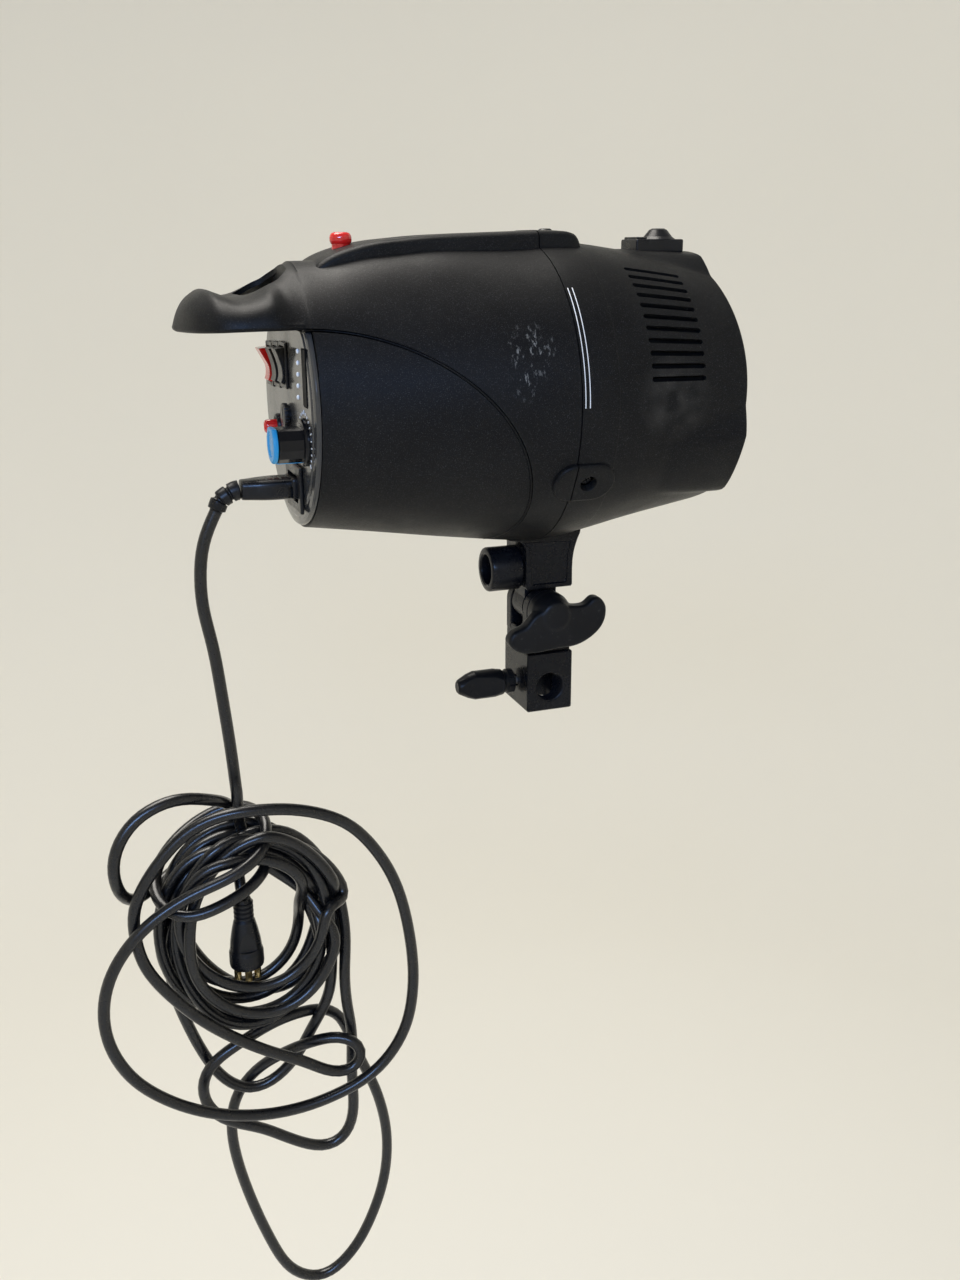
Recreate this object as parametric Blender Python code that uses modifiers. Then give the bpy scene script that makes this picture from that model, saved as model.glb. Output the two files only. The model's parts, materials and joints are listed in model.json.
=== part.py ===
"""Studio monolight strobe on its tilt bracket, with its mains lead tied in a bundle.

Metres, +Z up, nose along +X. The origin is the centre of the mouth of the stand
socket, on the underside of the stand block. The head is level, tilt angle zero.
"""

import math

import bmesh
import bpy
from mathutils import Matrix, Vector

NAME = "monolight_strobe"
GAP = 0.0003                 # air between pieces that touch

# Head casing: a barrel whose axis runs along X
AXIS_Z = 0.168               # barrel axis above the socket mouth
REAR_X = -0.128              # back edge of the lower shell
SEAM_X = -0.011              # joint between the rear shells and the front shell
RIM_X = 0.0805               # front rim
WALL = 0.0026
PAST_SEAM = 0.004            # how far the shells' shapes run past the seam before it trims them
RING_SIDES = 44
SHELL_STEPS = 7
STATIONS = ((-0.128, 0.0585), (-0.095, 0.0632), (-0.056, 0.0690), (-0.011, 0.0745),
            (0.012, 0.0742), (0.036, 0.0712), (0.058, 0.0677), (0.0805, 0.0640))
TOP_RISE = 0.0075            # how much taller than round the upper shell is at its back edge

# Hood at the back of the upper shell, which is also the carrying handle
HOOD_EDGE = 0.0375           # its lower edge above the barrel axis
HOOD_BASE = 0.030            # where its sections start, below that edge
HOOD = ((-0.1285, 0.0515, 0.0655, 1.6), (-0.134, 0.0505, 0.0632, 1.7),
        (-0.139, 0.0495, 0.0593, 1.8), (-0.146, 0.0487, 0.0548, 1.9),
        (-0.152, 0.0480, 0.0522, 2.0), (-0.158, 0.0470, 0.0515, 2.1),
        (-0.164, 0.0450, 0.0534, 2.1), (-0.168, 0.0425, 0.0545, 2.1),
        (-0.172, 0.0385, 0.0527, 2.1), (-0.176, 0.0325, 0.0497, 2.0),
        (-0.180, 0.0225, 0.0449, 2.0), (-0.183, 0.0080, 0.0385, 2.0))
BULKHEAD = 0.003
FINGER_HOLE = (-0.1565, -0.1355, 0.027)   # front to back, and half its width

# Groove between the upper and lower rear shells, seen from the side
GROOVE_X, GROOVE_Z = -0.1315, -0.050      # centre of its long quarter ellipse
GROOVE_LONG, GROOVE_TALL = 0.102, 0.0875
GROOVE_TURN = 0.025                       # radius of the turn under the belly
GROOVE_WIDE = 0.0008

# Spine along the top
SPINE_HALF, SPINE_TOP = 0.0215, 0.0796

# Front shell
LOBES = (90, -30, -150)      # directions of the three raised lobes on the rim
LOBE_RISE, LOBE_START = 0.0055, 0.040
VENTS, VENT_TOP, VENT_STEP = 11, 58.5, 4.84
VENT_X = (0.0263, 0.0576)
VENT_WIDE = 0.0020
BOSS_ANGLE, BOSS_X = -30, -0.004

# Rear control panel, which faces -X
PANEL_X = -0.1315            # its outer face
PANEL_THICK = 0.0035
PANEL_FACE, PANEL_RIM = 0.0525, 0.0575
PANEL_TOP = 0.0365           # flat upper edge, under the hood
POWER_KEY = (0.033, 0.017)   # y and height from the axis of each control's centre
LAMP_KEY = (0.0165, 0.018)
SOUND_KEY = (0.0005, 0.019)
KEY_WIDE, KEY_TALL = 0.0130, 0.0195
KEY_AXIS = 0.0012            # the rocker keys' pivots, in front of the panel's face
WINDOW = (-0.042, 0.0165, 0.0085, 0.026)
KNOB_AT = (-0.037, -0.0125)
TEST_AT = (0.022, -0.0125)
FUSE_AT = (-0.003, -0.0045)
INLET_AT = (-0.014, -0.0365)
INLET_WIDE, INLET_TALL = 0.028, 0.0195

# Front mount
PLATE_X, PLATE_THICK = 0.0735, 0.004
PLATE_OUTER, PLATE_INNER = 0.0580, 0.0430
SLIDER_X = (0.045, 0.078)
SLIDER_Z = 0.0708            # underside of the slider above the barrel axis

# Tilt bracket
PIVOT_X, PIVOT_Z = -0.002, 0.0565
TONGUE_HALF, TONGUE_R = 0.0070, 0.0105
EAR_IN, EAR_OUT, EAR_R = 0.0083, 0.0150, 0.0108
FOOT_BOTTOM = 0.068
FOOT_HALF = 0.014
TUBE_Z, TUBE_R, TUBE_MOUTH = 0.0774, 0.0118, 0.0078
TUBE_X = (-0.0306, 0.0125)
TUBE_SPIGOT, TUBE_BORE = 0.0072, 0.0050   # the narrower end inside the foot, and its hole
HANDLE_HUB, HANDLE_DEEP = 0.0112, 0.0150
HANDLE_OUTLINE = ((-0.0260, -0.0125), (-0.0240, -0.0070), (-0.0170, -0.0040), (-0.0110, 0.0020),
                  (0.0, 0.0060), (0.0110, 0.0045), (0.0170, 0.0047), (0.0215, 0.0080),
                  (0.0257, 0.0072), (0.0288, 0.0020), (0.0277, -0.0060), (0.0222, -0.0125),
                  (0.0125, -0.0172), (0.0, -0.0180), (-0.0100, -0.0190), (-0.0200, -0.0180))
BLOCK = (0.026, 0.034, 0.033)
SOCKET_R, SOCKET_DEEP = 0.0082, 0.029
SIDE_HOLE_Z = 0.0135
KNOB_Z = 0.0135
BOLT_R = 0.0035

# Mains lead
CORD_R = 0.0030
CORD_Y = -0.014
BUNDLE_AT = (-0.168, -0.104)
BUNDLE_OUTER, BUNDLE_INNER, BUNDLE_HALF = 0.057, 0.024, 0.0165
PLUG_AT = (-0.171, CORD_Y, -0.101)
LOOP_FRONT = ((-0.173, -0.038, -0.022), (-0.146, -0.038, -0.025), (-0.121, -0.038, -0.036),
              (-0.105, -0.038, -0.055), (-0.094, -0.038, -0.079), (-0.088, -0.038, -0.110),
              (-0.087, -0.038, -0.140), (-0.093, -0.038, -0.167), (-0.110, -0.038, -0.188),
              (-0.136, -0.038, -0.198), (-0.162, -0.038, -0.200), (-0.187, -0.038, -0.195),
              (-0.211, -0.038, -0.183), (-0.232, -0.038, -0.164), (-0.243, -0.038, -0.143),
              (-0.246, -0.038, -0.122), (-0.242, -0.038, -0.102), (-0.232, -0.038, -0.085),
              (-0.218, -0.038, -0.072), (-0.199, -0.038, -0.062))
LOOP_LOW = ((-0.117, -0.006, -0.180), (-0.110, -0.006, -0.202), (-0.101, -0.006, -0.227),
            (-0.096, -0.006, -0.256), (-0.098, -0.006, -0.286), (-0.107, -0.006, -0.314),
            (-0.120, -0.006, -0.336), (-0.138, -0.006, -0.348), (-0.157, -0.006, -0.336),
            (-0.170, -0.006, -0.304), (-0.181, -0.006, -0.262), (-0.185, -0.006, -0.230),
            (-0.181, -0.006, -0.208), (-0.169, -0.006, -0.192), (-0.155, -0.006, -0.181))
LOOP_MIDDLE = ((-0.118, -0.022, -0.170), (-0.119, -0.022, -0.196), (-0.119, -0.022, -0.224),
               (-0.125, -0.022, -0.239), (-0.137, -0.022, -0.242), (-0.153, -0.022, -0.233),
               (-0.170, -0.022, -0.220), (-0.190, -0.022, -0.209), (-0.199, -0.022, -0.196),
               (-0.200, -0.022, -0.183), (-0.194, -0.022, -0.172))
SLEEVE_END = (-0.1707, CORD_Y, 0.1219)
EXIT = (-0.1724, CORD_Y, 0.1188)          # where the lead flexes as the head tilts
DROP = (EXIT, (-0.1757, CORD_Y, 0.1125), (-0.1788, CORD_Y, 0.1030), (-0.1803, CORD_Y, 0.0890),
        (-0.180, CORD_Y, 0.075), (-0.1765, CORD_Y, 0.055), (-0.174, CORD_Y, 0.030),
        (-0.1715, CORD_Y, 0.0), (-0.170, CORD_Y, -0.025), (-0.1695, CORD_Y, -0.0463))

COLOURS = {
    "casing": ((0.045, 0.045, 0.044, 1), 0.55, 0.0),
    "panel": ((0.30, 0.30, 0.29, 1), 0.25, 0.0),
    "black": ((0.012, 0.012, 0.013, 1), 0.40, 0.0),
    "red": ((0.60, 0.03, 0.03, 1), 0.25, 0.0),
    "blue": ((0.0, 0.25, 0.80, 1), 0.35, 0.0),
    "bracket": ((0.020, 0.020, 0.023, 1), 0.45, 0.6),
    "steel": ((0.55, 0.55, 0.56, 1), 0.30, 1.0),
    "brass": ((0.70, 0.50, 0.20, 1), 0.35, 1.0),
    "aluminium": ((0.70, 0.70, 0.71, 1), 0.40, 1.0),
    "board": ((0.02, 0.16, 0.06, 1), 0.45, 0.0),
    "ceramic": ((0.85, 0.83, 0.78, 1), 0.50, 0.0),
    "glass": ((0.90, 0.92, 0.93, 1), 0.15, 0.0),
    "sleeve": ((0.03, 0.05, 0.16, 1), 0.35, 0.0),
    "cord": ((0.010, 0.010, 0.011, 1), 0.30, 0.0),
}


# ---------------------------------------------------------------- set-up and helpers

def clear_scene():
    for thing in list(bpy.data.objects):
        bpy.data.objects.remove(thing)


def new_collection(name):
    collection = bpy.data.collections.new(name)
    bpy.context.scene.collection.children.link(collection)
    return collection


def finish(obj, colour):
    """Gives the object its material and smooth shading."""
    rgba, roughness, metallic = COLOURS[colour]
    material = bpy.data.materials.new(obj.name + "_finish")
    material.use_nodes = True
    shader = material.node_tree.nodes["Principled BSDF"]
    shader.inputs["Base Color"].default_value = rgba
    shader.inputs["Roughness"].default_value = roughness
    shader.inputs["Metallic"].default_value = metallic
    obj.data.materials.clear()
    obj.data.materials.append(material)
    if obj.type == "MESH":
        obj.data.shade_smooth()
        obj.data.set_sharp_from_angle(angle=math.radians(35))
    return obj


def add_object(name, bm, collection):
    mesh = bpy.data.meshes.new(name)
    bm.to_mesh(mesh)
    bm.free()
    obj = bpy.data.objects.new(name, mesh)
    collection.objects.link(obj)
    if collection is CUTTERS:
        obj.hide_render = True
        obj.display_type = "WIRE"
    return obj


def facing(axis):
    """Rotation that turns +Z to the axis X, Y or Z."""
    turns = {"X": Matrix.Rotation(math.pi / 2, 4, "Y"),
             "Y": Matrix.Rotation(-math.pi / 2, 4, "X"), "Z": Matrix.Identity(4)}
    return turns[axis]


def box(name, size, centre, collection=None, round_edges=0.0):
    bm = bmesh.new()
    bmesh.ops.create_cube(bm, size=1)
    bmesh.ops.scale(bm, vec=size, verts=bm.verts)
    if round_edges:
        bmesh.ops.bevel(bm, geom=bm.edges, offset=round_edges, segments=2, affect="EDGES",
                        profile=0.5)
    obj = add_object(name, bm, collection or PARTS)
    obj.location = centre
    return obj


def rod(name, radius, length, centre, axis="X", sides=24, collection=None, tip=None):
    """A cylinder, or a cone if the radius of its far end is given as tip."""
    bm = bmesh.new()
    bmesh.ops.create_cone(bm, cap_ends=True, segments=sides, radius1=radius,
                          radius2=radius if tip is None else tip, depth=length)
    bmesh.ops.transform(bm, matrix=facing(axis), verts=bm.verts)
    obj = add_object(name, bm, collection or PARTS)
    obj.location = centre
    return obj


def turned(name, profile, centre, axis="X", sides=28, collection=None):
    """Turns (radius, height) points about an axis: down the outer side, top to bottom."""
    mesh = bpy.data.meshes.new(name)
    bm = bmesh.new()
    verts = [bm.verts.new((radius, 0, height)) for radius, height in profile]
    closed = profile[0][0] > 1e-6
    for a, b in zip(verts, verts[1:] + verts[:1] if closed else verts[1:]):
        bm.edges.new((a, b))
    bm.to_mesh(mesh)
    bm.free()
    obj = bpy.data.objects.new(name, mesh)
    (collection or PARTS).objects.link(obj)
    screw = obj.modifiers.new("turn", "SCREW")
    screw.steps = screw.render_steps = sides
    screw.use_merge_vertices = True
    screw.merge_threshold = 0.00001
    obj.matrix_world = Matrix.Translation(centre) @ facing(axis)
    return obj


def prism(name, outline, thickness, centre, axis="Y", collection=None):
    """A flat outline, given in the plane across the axis, as a solid of this thickness."""
    curve = bpy.data.curves.new(name, "CURVE")
    curve.dimensions = "2D"
    curve.fill_mode = "BOTH"
    curve.extrude = thickness / 2
    spline = curve.splines.new("POLY")
    spline.points.add(len(outline) - 1)
    for point, (u, v) in zip(spline.points, outline):
        point.co = (u, v, 0, 1)
    spline.use_cyclic_u = True
    obj = bpy.data.objects.new(name, curve)
    (collection or PARTS).objects.link(obj)
    # Across Y the outline is (x, z), across X it is (y, z), and across Z it is (x, y).
    turns = {"Y": Matrix.Rotation(math.pi / 2, 4, "X"),
             "X": Matrix.Rotation(math.pi / 2, 4, "Z") @ Matrix.Rotation(math.pi / 2, 4, "X"),
             "Z": Matrix.Identity(4)}
    obj.matrix_world = Matrix.Translation(centre) @ turns[axis]
    return as_mesh(obj)


def as_mesh(curve_obj):
    """Replaces a curve by the welded mesh that it makes."""
    bpy.context.view_layer.update()
    graph = bpy.context.evaluated_depsgraph_get()
    mesh = bpy.data.meshes.new_from_object(curve_obj.evaluated_get(graph))
    bm = bmesh.new()
    bm.from_mesh(mesh)
    bmesh.ops.remove_doubles(bm, verts=bm.verts, dist=0.000001)
    bmesh.ops.recalc_face_normals(bm, faces=bm.faces)
    bm.to_mesh(mesh)
    bm.free()
    name, matrix = curve_obj.name, curve_obj.matrix_world.copy()
    home = curve_obj.users_collection[0]
    bpy.data.objects.remove(curve_obj)
    obj = bpy.data.objects.new(name, mesh)
    home.objects.link(obj)
    obj.matrix_world = matrix
    if home is CUTTERS:
        obj.hide_render = True
        obj.display_type = "WIRE"
    return obj


def loft(name, rings, collection=None):
    """A closed solid through rings of equally many points, each end closed by a fan."""
    bm = bmesh.new()
    rows = [[bm.verts.new(p) for p in ring] for ring in rings]
    count = len(rings[0])
    for near, far in zip(rows, rows[1:]):
        for k in range(count):
            after = (k + 1) % count
            bm.faces.new((near[k], near[after], far[after], far[k]))
    for row, ring in ((rows[0], rings[0]), (rows[-1], rings[-1])):
        middle = bm.verts.new(sum((Vector(p) for p in ring), Vector()) / count)
        for k in range(count):
            bm.faces.new((row[k], row[(k + 1) % count], middle))
    bmesh.ops.recalc_face_normals(bm, faces=bm.faces)
    return add_object(name, bm, collection or PARTS)


def wire(name, points, radius, resolution=2):
    curve = bpy.data.curves.new(name, "CURVE")
    curve.dimensions = "3D"
    curve.bevel_depth = radius
    curve.bevel_resolution = resolution
    curve.use_fill_caps = True
    spline = curve.splines.new("POLY")
    spline.points.add(len(points) - 1)
    for point, place in zip(spline.points, points):
        point.co = (*place, 1)
    obj = bpy.data.objects.new(name, curve)
    PARTS.objects.link(obj)
    return obj


def domed_wire(name, points, radius):
    """A wire whose first end is a dome about its first point, on which it can swing."""
    domed = [math.radians(degrees) for degrees in (15, 40, 65)]
    ahead = (points[1] - points[0]).normalized()
    obj = wire(name, [points[0] - ahead * radius * math.cos(a) for a in domed] + points, radius)
    for point, a in zip(obj.data.splines[0].points, domed):
        point.radius = math.sin(a)
    return obj


def smooth_route(points, spacing):
    """Points at about this spacing on the Catmull-Rom curve through the given ones."""
    knots = [Vector(p) for p in points]
    knots = [2 * knots[0] - knots[1], *knots, 2 * knots[-1] - knots[-2]]
    fine = []
    for a, b, c, d in zip(knots, knots[1:], knots[2:], knots[3:]):
        for step in range(12):
            t = step / 12
            fine.append(0.5 * (2 * b + (c - a) * t + (2 * a - 5 * b + 4 * c - d) * t * t
                               + (3 * b - a - 3 * c + d) * t ** 3))
    fine.append(knots[-2])
    lengths = [0.0]
    for a, b in zip(fine, fine[1:]):
        lengths.append(lengths[-1] + (b - a).length)
    count = max(2, round(lengths[-1] / spacing))
    route, at = [], 0
    for k in range(count + 1):
        goal = lengths[-1] * k / count
        while at < len(lengths) - 2 and lengths[at + 1] < goal:
            at += 1
        share = (goal - lengths[at]) / max(lengths[at + 1] - lengths[at], 1e-9)
        route.append(fine[at].lerp(fine[at + 1], min(max(share, 0), 1)))
    return route


def boolean(obj, other, operation):
    modifier = obj.modifiers.new(operation.lower(), "BOOLEAN")
    modifier.operation = operation
    modifier.object = other
    # The exact solver leaves open edges on the curved shells, and this one doesn't.
    modifier.solver = "MANIFOLD" if obj.name.endswith("_shell") else "EXACT"
    return obj


def cut(obj, *cutters):
    for cutter in cutters:
        boolean(obj, cutter, "DIFFERENCE")
    return obj


def join(obj, *others):
    """Unites the other shapes with this one. They stay behind as hidden helpers."""
    for other in others:
        for home in list(other.users_collection):
            home.objects.unlink(other)
        CUTTERS.objects.link(other)
        other.hide_render = True
        other.display_type = "WIRE"
        boolean(obj, other, "UNION")
    return obj


# ---------------------------------------------------------------- casing shapes

def blend_stations(x):
    """Barrel radius at x, on a smooth curve through the stations."""
    stations = STATIONS
    if x <= stations[0][0]:
        return stations[0][1]
    for k in range(len(stations) - 1):
        (x0, r0), (x1, r1) = stations[k], stations[k + 1]
        if x <= x1:
            before = stations[max(k - 1, 0)]
            after = stations[min(k + 2, len(stations) - 1)]
            t = (x - x0) / (x1 - x0)
            slope0 = (r1 - before[1]) / (x1 - before[0]) * (x1 - x0)
            slope1 = (after[1] - r0) / (after[0] - x0) * (x1 - x0)
            return ((2 * t ** 3 - 3 * t ** 2 + 1) * r0 + (t ** 3 - 2 * t ** 2 + t) * slope0
                    + (3 * t ** 2 - 2 * t ** 3) * r1 + (t ** 3 - t ** 2) * slope1)
    return stations[-1][1]


def barrel_ring(x, inset=0.0):
    """Points round the barrel at x: the lower half round, the upper half a little taller."""
    radius = blend_stations(x) - inset
    rise = TOP_RISE * max(0.0, (SEAM_X - x) / (SEAM_X - REAR_X)) ** 2
    points = []
    for k in range(RING_SIDES):
        angle = 2 * math.pi * k / RING_SIDES
        up = math.sin(angle)
        tall = radius + rise if up > 0 else radius
        points.append((x, radius * math.cos(angle), AXIS_Z + tall * up))
    return points


def hood_ring(x, half, top, power, inset=0.0):
    """An arched section of the hood, on a flat base that the split cuts away."""
    half, top = half - inset, top - inset
    points = []
    for k in range(RING_SIDES):
        angle = 2 * math.pi * k / RING_SIDES
        across, up = math.cos(angle), math.sin(angle)
        y = half * math.copysign(abs(across) ** (2 / power), across)
        z = (top - HOOD_BASE) * abs(up) ** (2 / power) if up >= 0 else 0.004 * up
        points.append((x, y, AXIS_Z + HOOD_BASE + z))
    return points


def rear_sections(inset=0.0, hood=True, start=REAR_X, end=SEAM_X):
    """The rear casing's rings, from the tip of the hood to the seam."""
    rings = []
    if hood:
        for x, half, top, power in reversed(HOOD):
            rings.append(hood_ring(x, half, top, power, inset))
    for k in range(SHELL_STEPS + 1):
        rings.append(barrel_ring(start + (end - start) * k / SHELL_STEPS, inset))
    rings.append(barrel_ring(end + PAST_SEAM, inset))
    return rings


def seam_cutter(name, side):
    """Everything beyond the seam, towards the nose if side is 1 and towards the back if -1."""
    face = SEAM_X if side > 0 else SEAM_X + 2 * GAP
    return box(name, (0.05, 0.2, 0.2), (face + side * 0.025, 0, AXIS_Z), CUTTERS)


def lobe_height(x, degrees):
    """How far the rim's lobes stand out at x: flat-topped, with a short ramp at each side."""
    along = max(0.0, (x - LOBE_START) / (RIM_X - LOBE_START))
    away = min(abs((degrees - lobe + 180) % 360 - 180) for lobe in LOBES)
    across = min(max((31 - away) / 12, 0.0), 1.0)
    return LOBE_RISE * along ** 1.3 * across


def front_ring(x, inset=0.0):
    points = []
    for k in range(RING_SIDES):
        degrees = 360 * k / RING_SIDES
        radius = blend_stations(x) + lobe_height(x, degrees) - inset
        angle = math.radians(degrees)
        points.append((x, radius * math.cos(angle), AXIS_Z + radius * math.sin(angle)))
    return points


def front_sections(start, inset=0.0, end=RIM_X):
    return [front_ring(start + (end - start) * k / SHELL_STEPS, inset)
            for k in range(SHELL_STEPS + 1)]


def groove_line(shift):
    """The groove in side view, from the hood's edge to under the belly, moved out by shift."""
    points = []
    for k in range(15):
        angle = math.pi / 2 * (1 - k / 14)
        points.append((GROOVE_X + (GROOVE_LONG + shift) * math.cos(angle),
                       AXIS_Z + GROOVE_Z + (GROOVE_TALL + shift) * math.sin(angle)))
    turn = GROOVE_TURN + shift
    centre = GROOVE_X + GROOVE_LONG - GROOVE_TURN
    for k in range(1, 9):
        angle = -math.pi / 2 * k / 8
        points.append((centre + turn * math.cos(angle), AXIS_Z + GROOVE_Z + turn * math.sin(angle)))
    return points


def spine_pad(name, sections):
    """The raised pad on top: a row of flat-topped sections of (x, top, half width)."""
    rings = []
    for x, top, half in sections:
        shoulder = 0.004
        rings.append([(x, -half, AXIS_Z + 0.058), (x, -half, AXIS_Z + top - shoulder),
                      (x, -half + shoulder * 0.6, AXIS_Z + top - 0.001), (x, 0, AXIS_Z + top),
                      (x, half - shoulder * 0.6, AXIS_Z + top - 0.001),
                      (x, half, AXIS_Z + top - shoulder), (x, half, AXIS_Z + 0.058)])
    return loft(name, rings, CUTTERS)


def below_cutter():
    """Everything below the upper shell: the hood's edge, the groove and the belly behind it."""
    line = groove_line(GROOVE_WIDE / 2)
    outline = [(-0.20, AXIS_Z + HOOD_EDGE), *line, (line[-1][0], AXIS_Z - 0.10),
               (-0.20, AXIS_Z - 0.10)]
    return prism("below_groove", outline, 0.22, (0, 0, 0), "Y", CUTTERS)


def above_cutter():
    """Everything outside the lower shell."""
    line = groove_line(-GROOVE_WIDE / 2)
    outline = [(-0.21, AXIS_Z + HOOD_EDGE - GROOVE_WIDE), *line, (line[-1][0], AXIS_Z - 0.12),
               (0.02, AXIS_Z - 0.12), (0.02, AXIS_Z + 0.12), (-0.21, AXIS_Z + 0.12)]
    return prism("above_groove", outline, 0.22, (0, 0, 0), "Y", CUTTERS)


def boss_pad(side, start, end):
    """Half of the oval pad round a side screw, on one side of the seam."""
    angle = math.radians(BOSS_ANGLE)
    normal = Vector((0, side * math.cos(angle), math.sin(angle)))
    centre = Vector((0, 0, AXIS_Z)) + normal * 0.0715
    pad = box("boss_pad", (end - start, 0.021, 0.0085), (0, 0, 0), CUTTERS, 0.0026)
    turn = normal.to_track_quat("Z", "X").to_matrix().to_4x4()
    across = Matrix.Rotation(0 if abs(turn[0][0]) > 0.5 else math.pi / 2, 4, "Z")
    pad.matrix_world = Matrix.Translation((start + (end - start) / 2, *centre[1:])) @ turn @ across
    return pad


def radial_rod(name, radius, near, far, x, side, degrees, collection=None, sides=20):
    """A cylinder that points away from the barrel axis."""
    angle = math.radians(degrees)
    normal = Vector((0, side * math.cos(angle), math.sin(angle)))
    obj = rod(name, radius, far - near, (0, 0, 0), "Z", sides, collection)
    place = Vector((x, 0, AXIS_Z)) + normal * (near + far) / 2
    obj.matrix_world = Matrix.Translation(place) @ normal.to_track_quat("Z", "X").to_matrix().to_4x4()
    return obj


# ---------------------------------------------------------------- casing pieces

def make_rear_upper_shell():
    shell = loft("rear_upper_shell", rear_sections())
    spine = spine_pad("spine", ((-0.124, 0.0668, 0.031), (-0.115, 0.0715, 0.027),
                                (-0.104, 0.0740, 0.0245), (-0.058, 0.0777, 0.0225),
                                (SEAM_X + 0.006, SPINE_TOP, SPINE_HALF)))
    join(shell, spine)
    for side in (-1, 1):
        join(shell, boss_pad(side, BOSS_X - 0.017, SEAM_X + 0.007))
    hood = [(x, half - WALL, top - WALL * 1.15, power) for x, half, top, power in HOOD
            if REAR_X - BULKHEAD > x > -0.181]
    front = (REAR_X - BULKHEAD, 0.0482, 0.0610, 1.65)
    pocket = loft("hood_pocket", [hood_ring(x, half, top, power)
                                  for x, half, top, power in [*reversed(hood), front]], CUTTERS)
    body = loft("rear_cavity", rear_sections(WALL, False, REAR_X + 0.0005, SEAM_X + 0.009), CUTTERS)
    back, fore, half = FINGER_HOLE
    hole = box("finger_hole", (fore - back, 2 * half, 0.06),
               ((fore + back) / 2, 0, AXIS_Z + 0.068), CUTTERS, 0.008)
    eye = rod("sensor_hole", 0.0046, 0.02, (-0.1024, 0, AXIS_Z + 0.073), "Z", 20, CUTTERS)
    cut(shell, below_cutter(), pocket, body, hole, eye, bracket_clearance("belly_opening"),
        seam_cutter("nose_side", 1))
    return finish(shell, "casing")


def bracket_clearance(name):
    """Room for the bracket's foot where it passes up into the casing."""
    return box(name, (0.0446, 0.0290, 0.030), (-0.0045, 0, AXIS_Z - 0.0755), CUTTERS)


def make_rear_lower_shell():
    shell = loft("rear_lower_shell", rear_sections(0.0, False))
    cavity = loft("lower_cavity", rear_sections(WALL, False, REAR_X - 0.001, SEAM_X + 0.009), CUTTERS)
    cut(shell, above_cutter(), cavity)
    return finish(shell, "casing")


def vent_cutters():
    """All slots on both sides as one cutter."""
    bm = bmesh.new()
    start, end = VENT_X
    for side in (-1, 1):
        for k in range(VENTS):
            angle = math.radians(VENT_TOP - VENT_STEP * k)
            normal = Vector((0, side * math.cos(angle), math.sin(angle)))
            made = bmesh.ops.create_cube(bm, size=1)["verts"]
            bmesh.ops.scale(bm, vec=(end - start, VENT_WIDE, 0.020), verts=made)
            turn = Matrix.Rotation(math.atan2(-normal.y, normal.z), 4, "X")
            place = Matrix.Translation(Vector(((start + end) / 2, 0, AXIS_Z)) + normal * 0.069)
            bmesh.ops.transform(bm, matrix=place @ turn, verts=made)
    return add_object("vent_slots", bm, CUTTERS)


def make_front_shell():
    start = SEAM_X - PAST_SEAM
    shell = loft("front_shell", front_sections(start))
    nose = spine_pad("spine_nose", ((start - 0.002, SPINE_TOP, SPINE_HALF), (0.0125, 0.0790, 0.0208),
                                    (0.0165, 0.0770, 0.0195), (0.0190, 0.0720, 0.0180)))
    join(shell, nose)
    for side in (-1, 1):
        join(shell, boss_pad(side, start - 0.003, BOSS_X + 0.0145))
    cavity = loft("front_cavity", front_sections(start - 0.005, WALL, RIM_X + 0.002), CUTTERS)
    slot = box("slider_slot", (0.022, 0.0062, 0.02), (0.0625, 0, AXIS_Z + 0.068), CUTTERS)
    cut(shell, cavity, vent_cutters(), slot, bracket_clearance("belly_opening_front"),
        seam_cutter("back_side", -1))
    for side in (-1, 1):
        cut(shell, radial_rod("screw_hole", 0.0034, 0.055, 0.090, BOSS_X + 0.0005, side, BOSS_ANGLE,
                              CUTTERS))
    cut(shell, rod("cap_hole", 0.0038, 0.02, (0.0014, 0, AXIS_Z + 0.0805), "Z", 20, CUTTERS))
    return finish(shell, "casing")


def make_shell_screws():
    for name, side in (("shell_screw_left", -1), ("shell_screw_right", 1)):
        screw = radial_rod(name, 0.0030, 0.0668, 0.0725, BOSS_X + 0.0005, side, BOSS_ANGLE)
        slot = radial_rod(name + "_drive", 0.0011, 0.0712, 0.0740, BOSS_X + 0.0005, side, BOSS_ANGLE,
                          CUTTERS, 6)
        finish(cut(screw, slot), "black")
    cap = rod("top_screw_cap", 0.0034, 0.0068, (0.0014, 0, AXIS_Z + 0.0770), "Z", 20)
    finish(cap, "black")


# ---------------------------------------------------------------- rear panel and its controls

def panel_ring(x, radius):
    points = []
    for k in range(RING_SIDES):
        angle = 2 * math.pi * k / RING_SIDES
        y, z = radius * math.cos(angle), radius * math.sin(angle)
        points.append((x, y, AXIS_Z + min(z, PANEL_TOP)))
    return points


def panel_box(name, at, wide, tall, deep=0.02, x=PANEL_X):
    return box(name, (deep, wide, tall), (x, at[0], AXIS_Z + at[1]), CUTTERS)


def make_panel():
    back = PANEL_X + PANEL_THICK - GAP
    panel = loft("rear_panel", [panel_ring(PANEL_X, PANEL_FACE), panel_ring(PANEL_X + 0.0016, PANEL_RIM),
                                panel_ring(back, PANEL_RIM)])
    for key in (POWER_KEY, LAMP_KEY, SOUND_KEY):
        cut(panel, panel_box("key_hole", key, KEY_WIDE - 0.0008, KEY_TALL - 0.0008))
    cut(panel, panel_box("window_hole", WINDOW[:2], WINDOW[2], WINDOW[3]),
        panel_box("inlet_hole", INLET_AT, INLET_WIDE - 0.0022, INLET_TALL - 0.0022))
    for name, at, radius in (("knob_hole", KNOB_AT, 0.0035), ("test_hole", TEST_AT, 0.0038),
                             ("fuse_hole", FUSE_AT, 0.0052)):
        cut(panel, rod(name, radius, 0.02, (PANEL_X, at[0], AXIS_Z + at[1]), "X", 20, CUTTERS))
    finish(panel, "panel")


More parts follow.
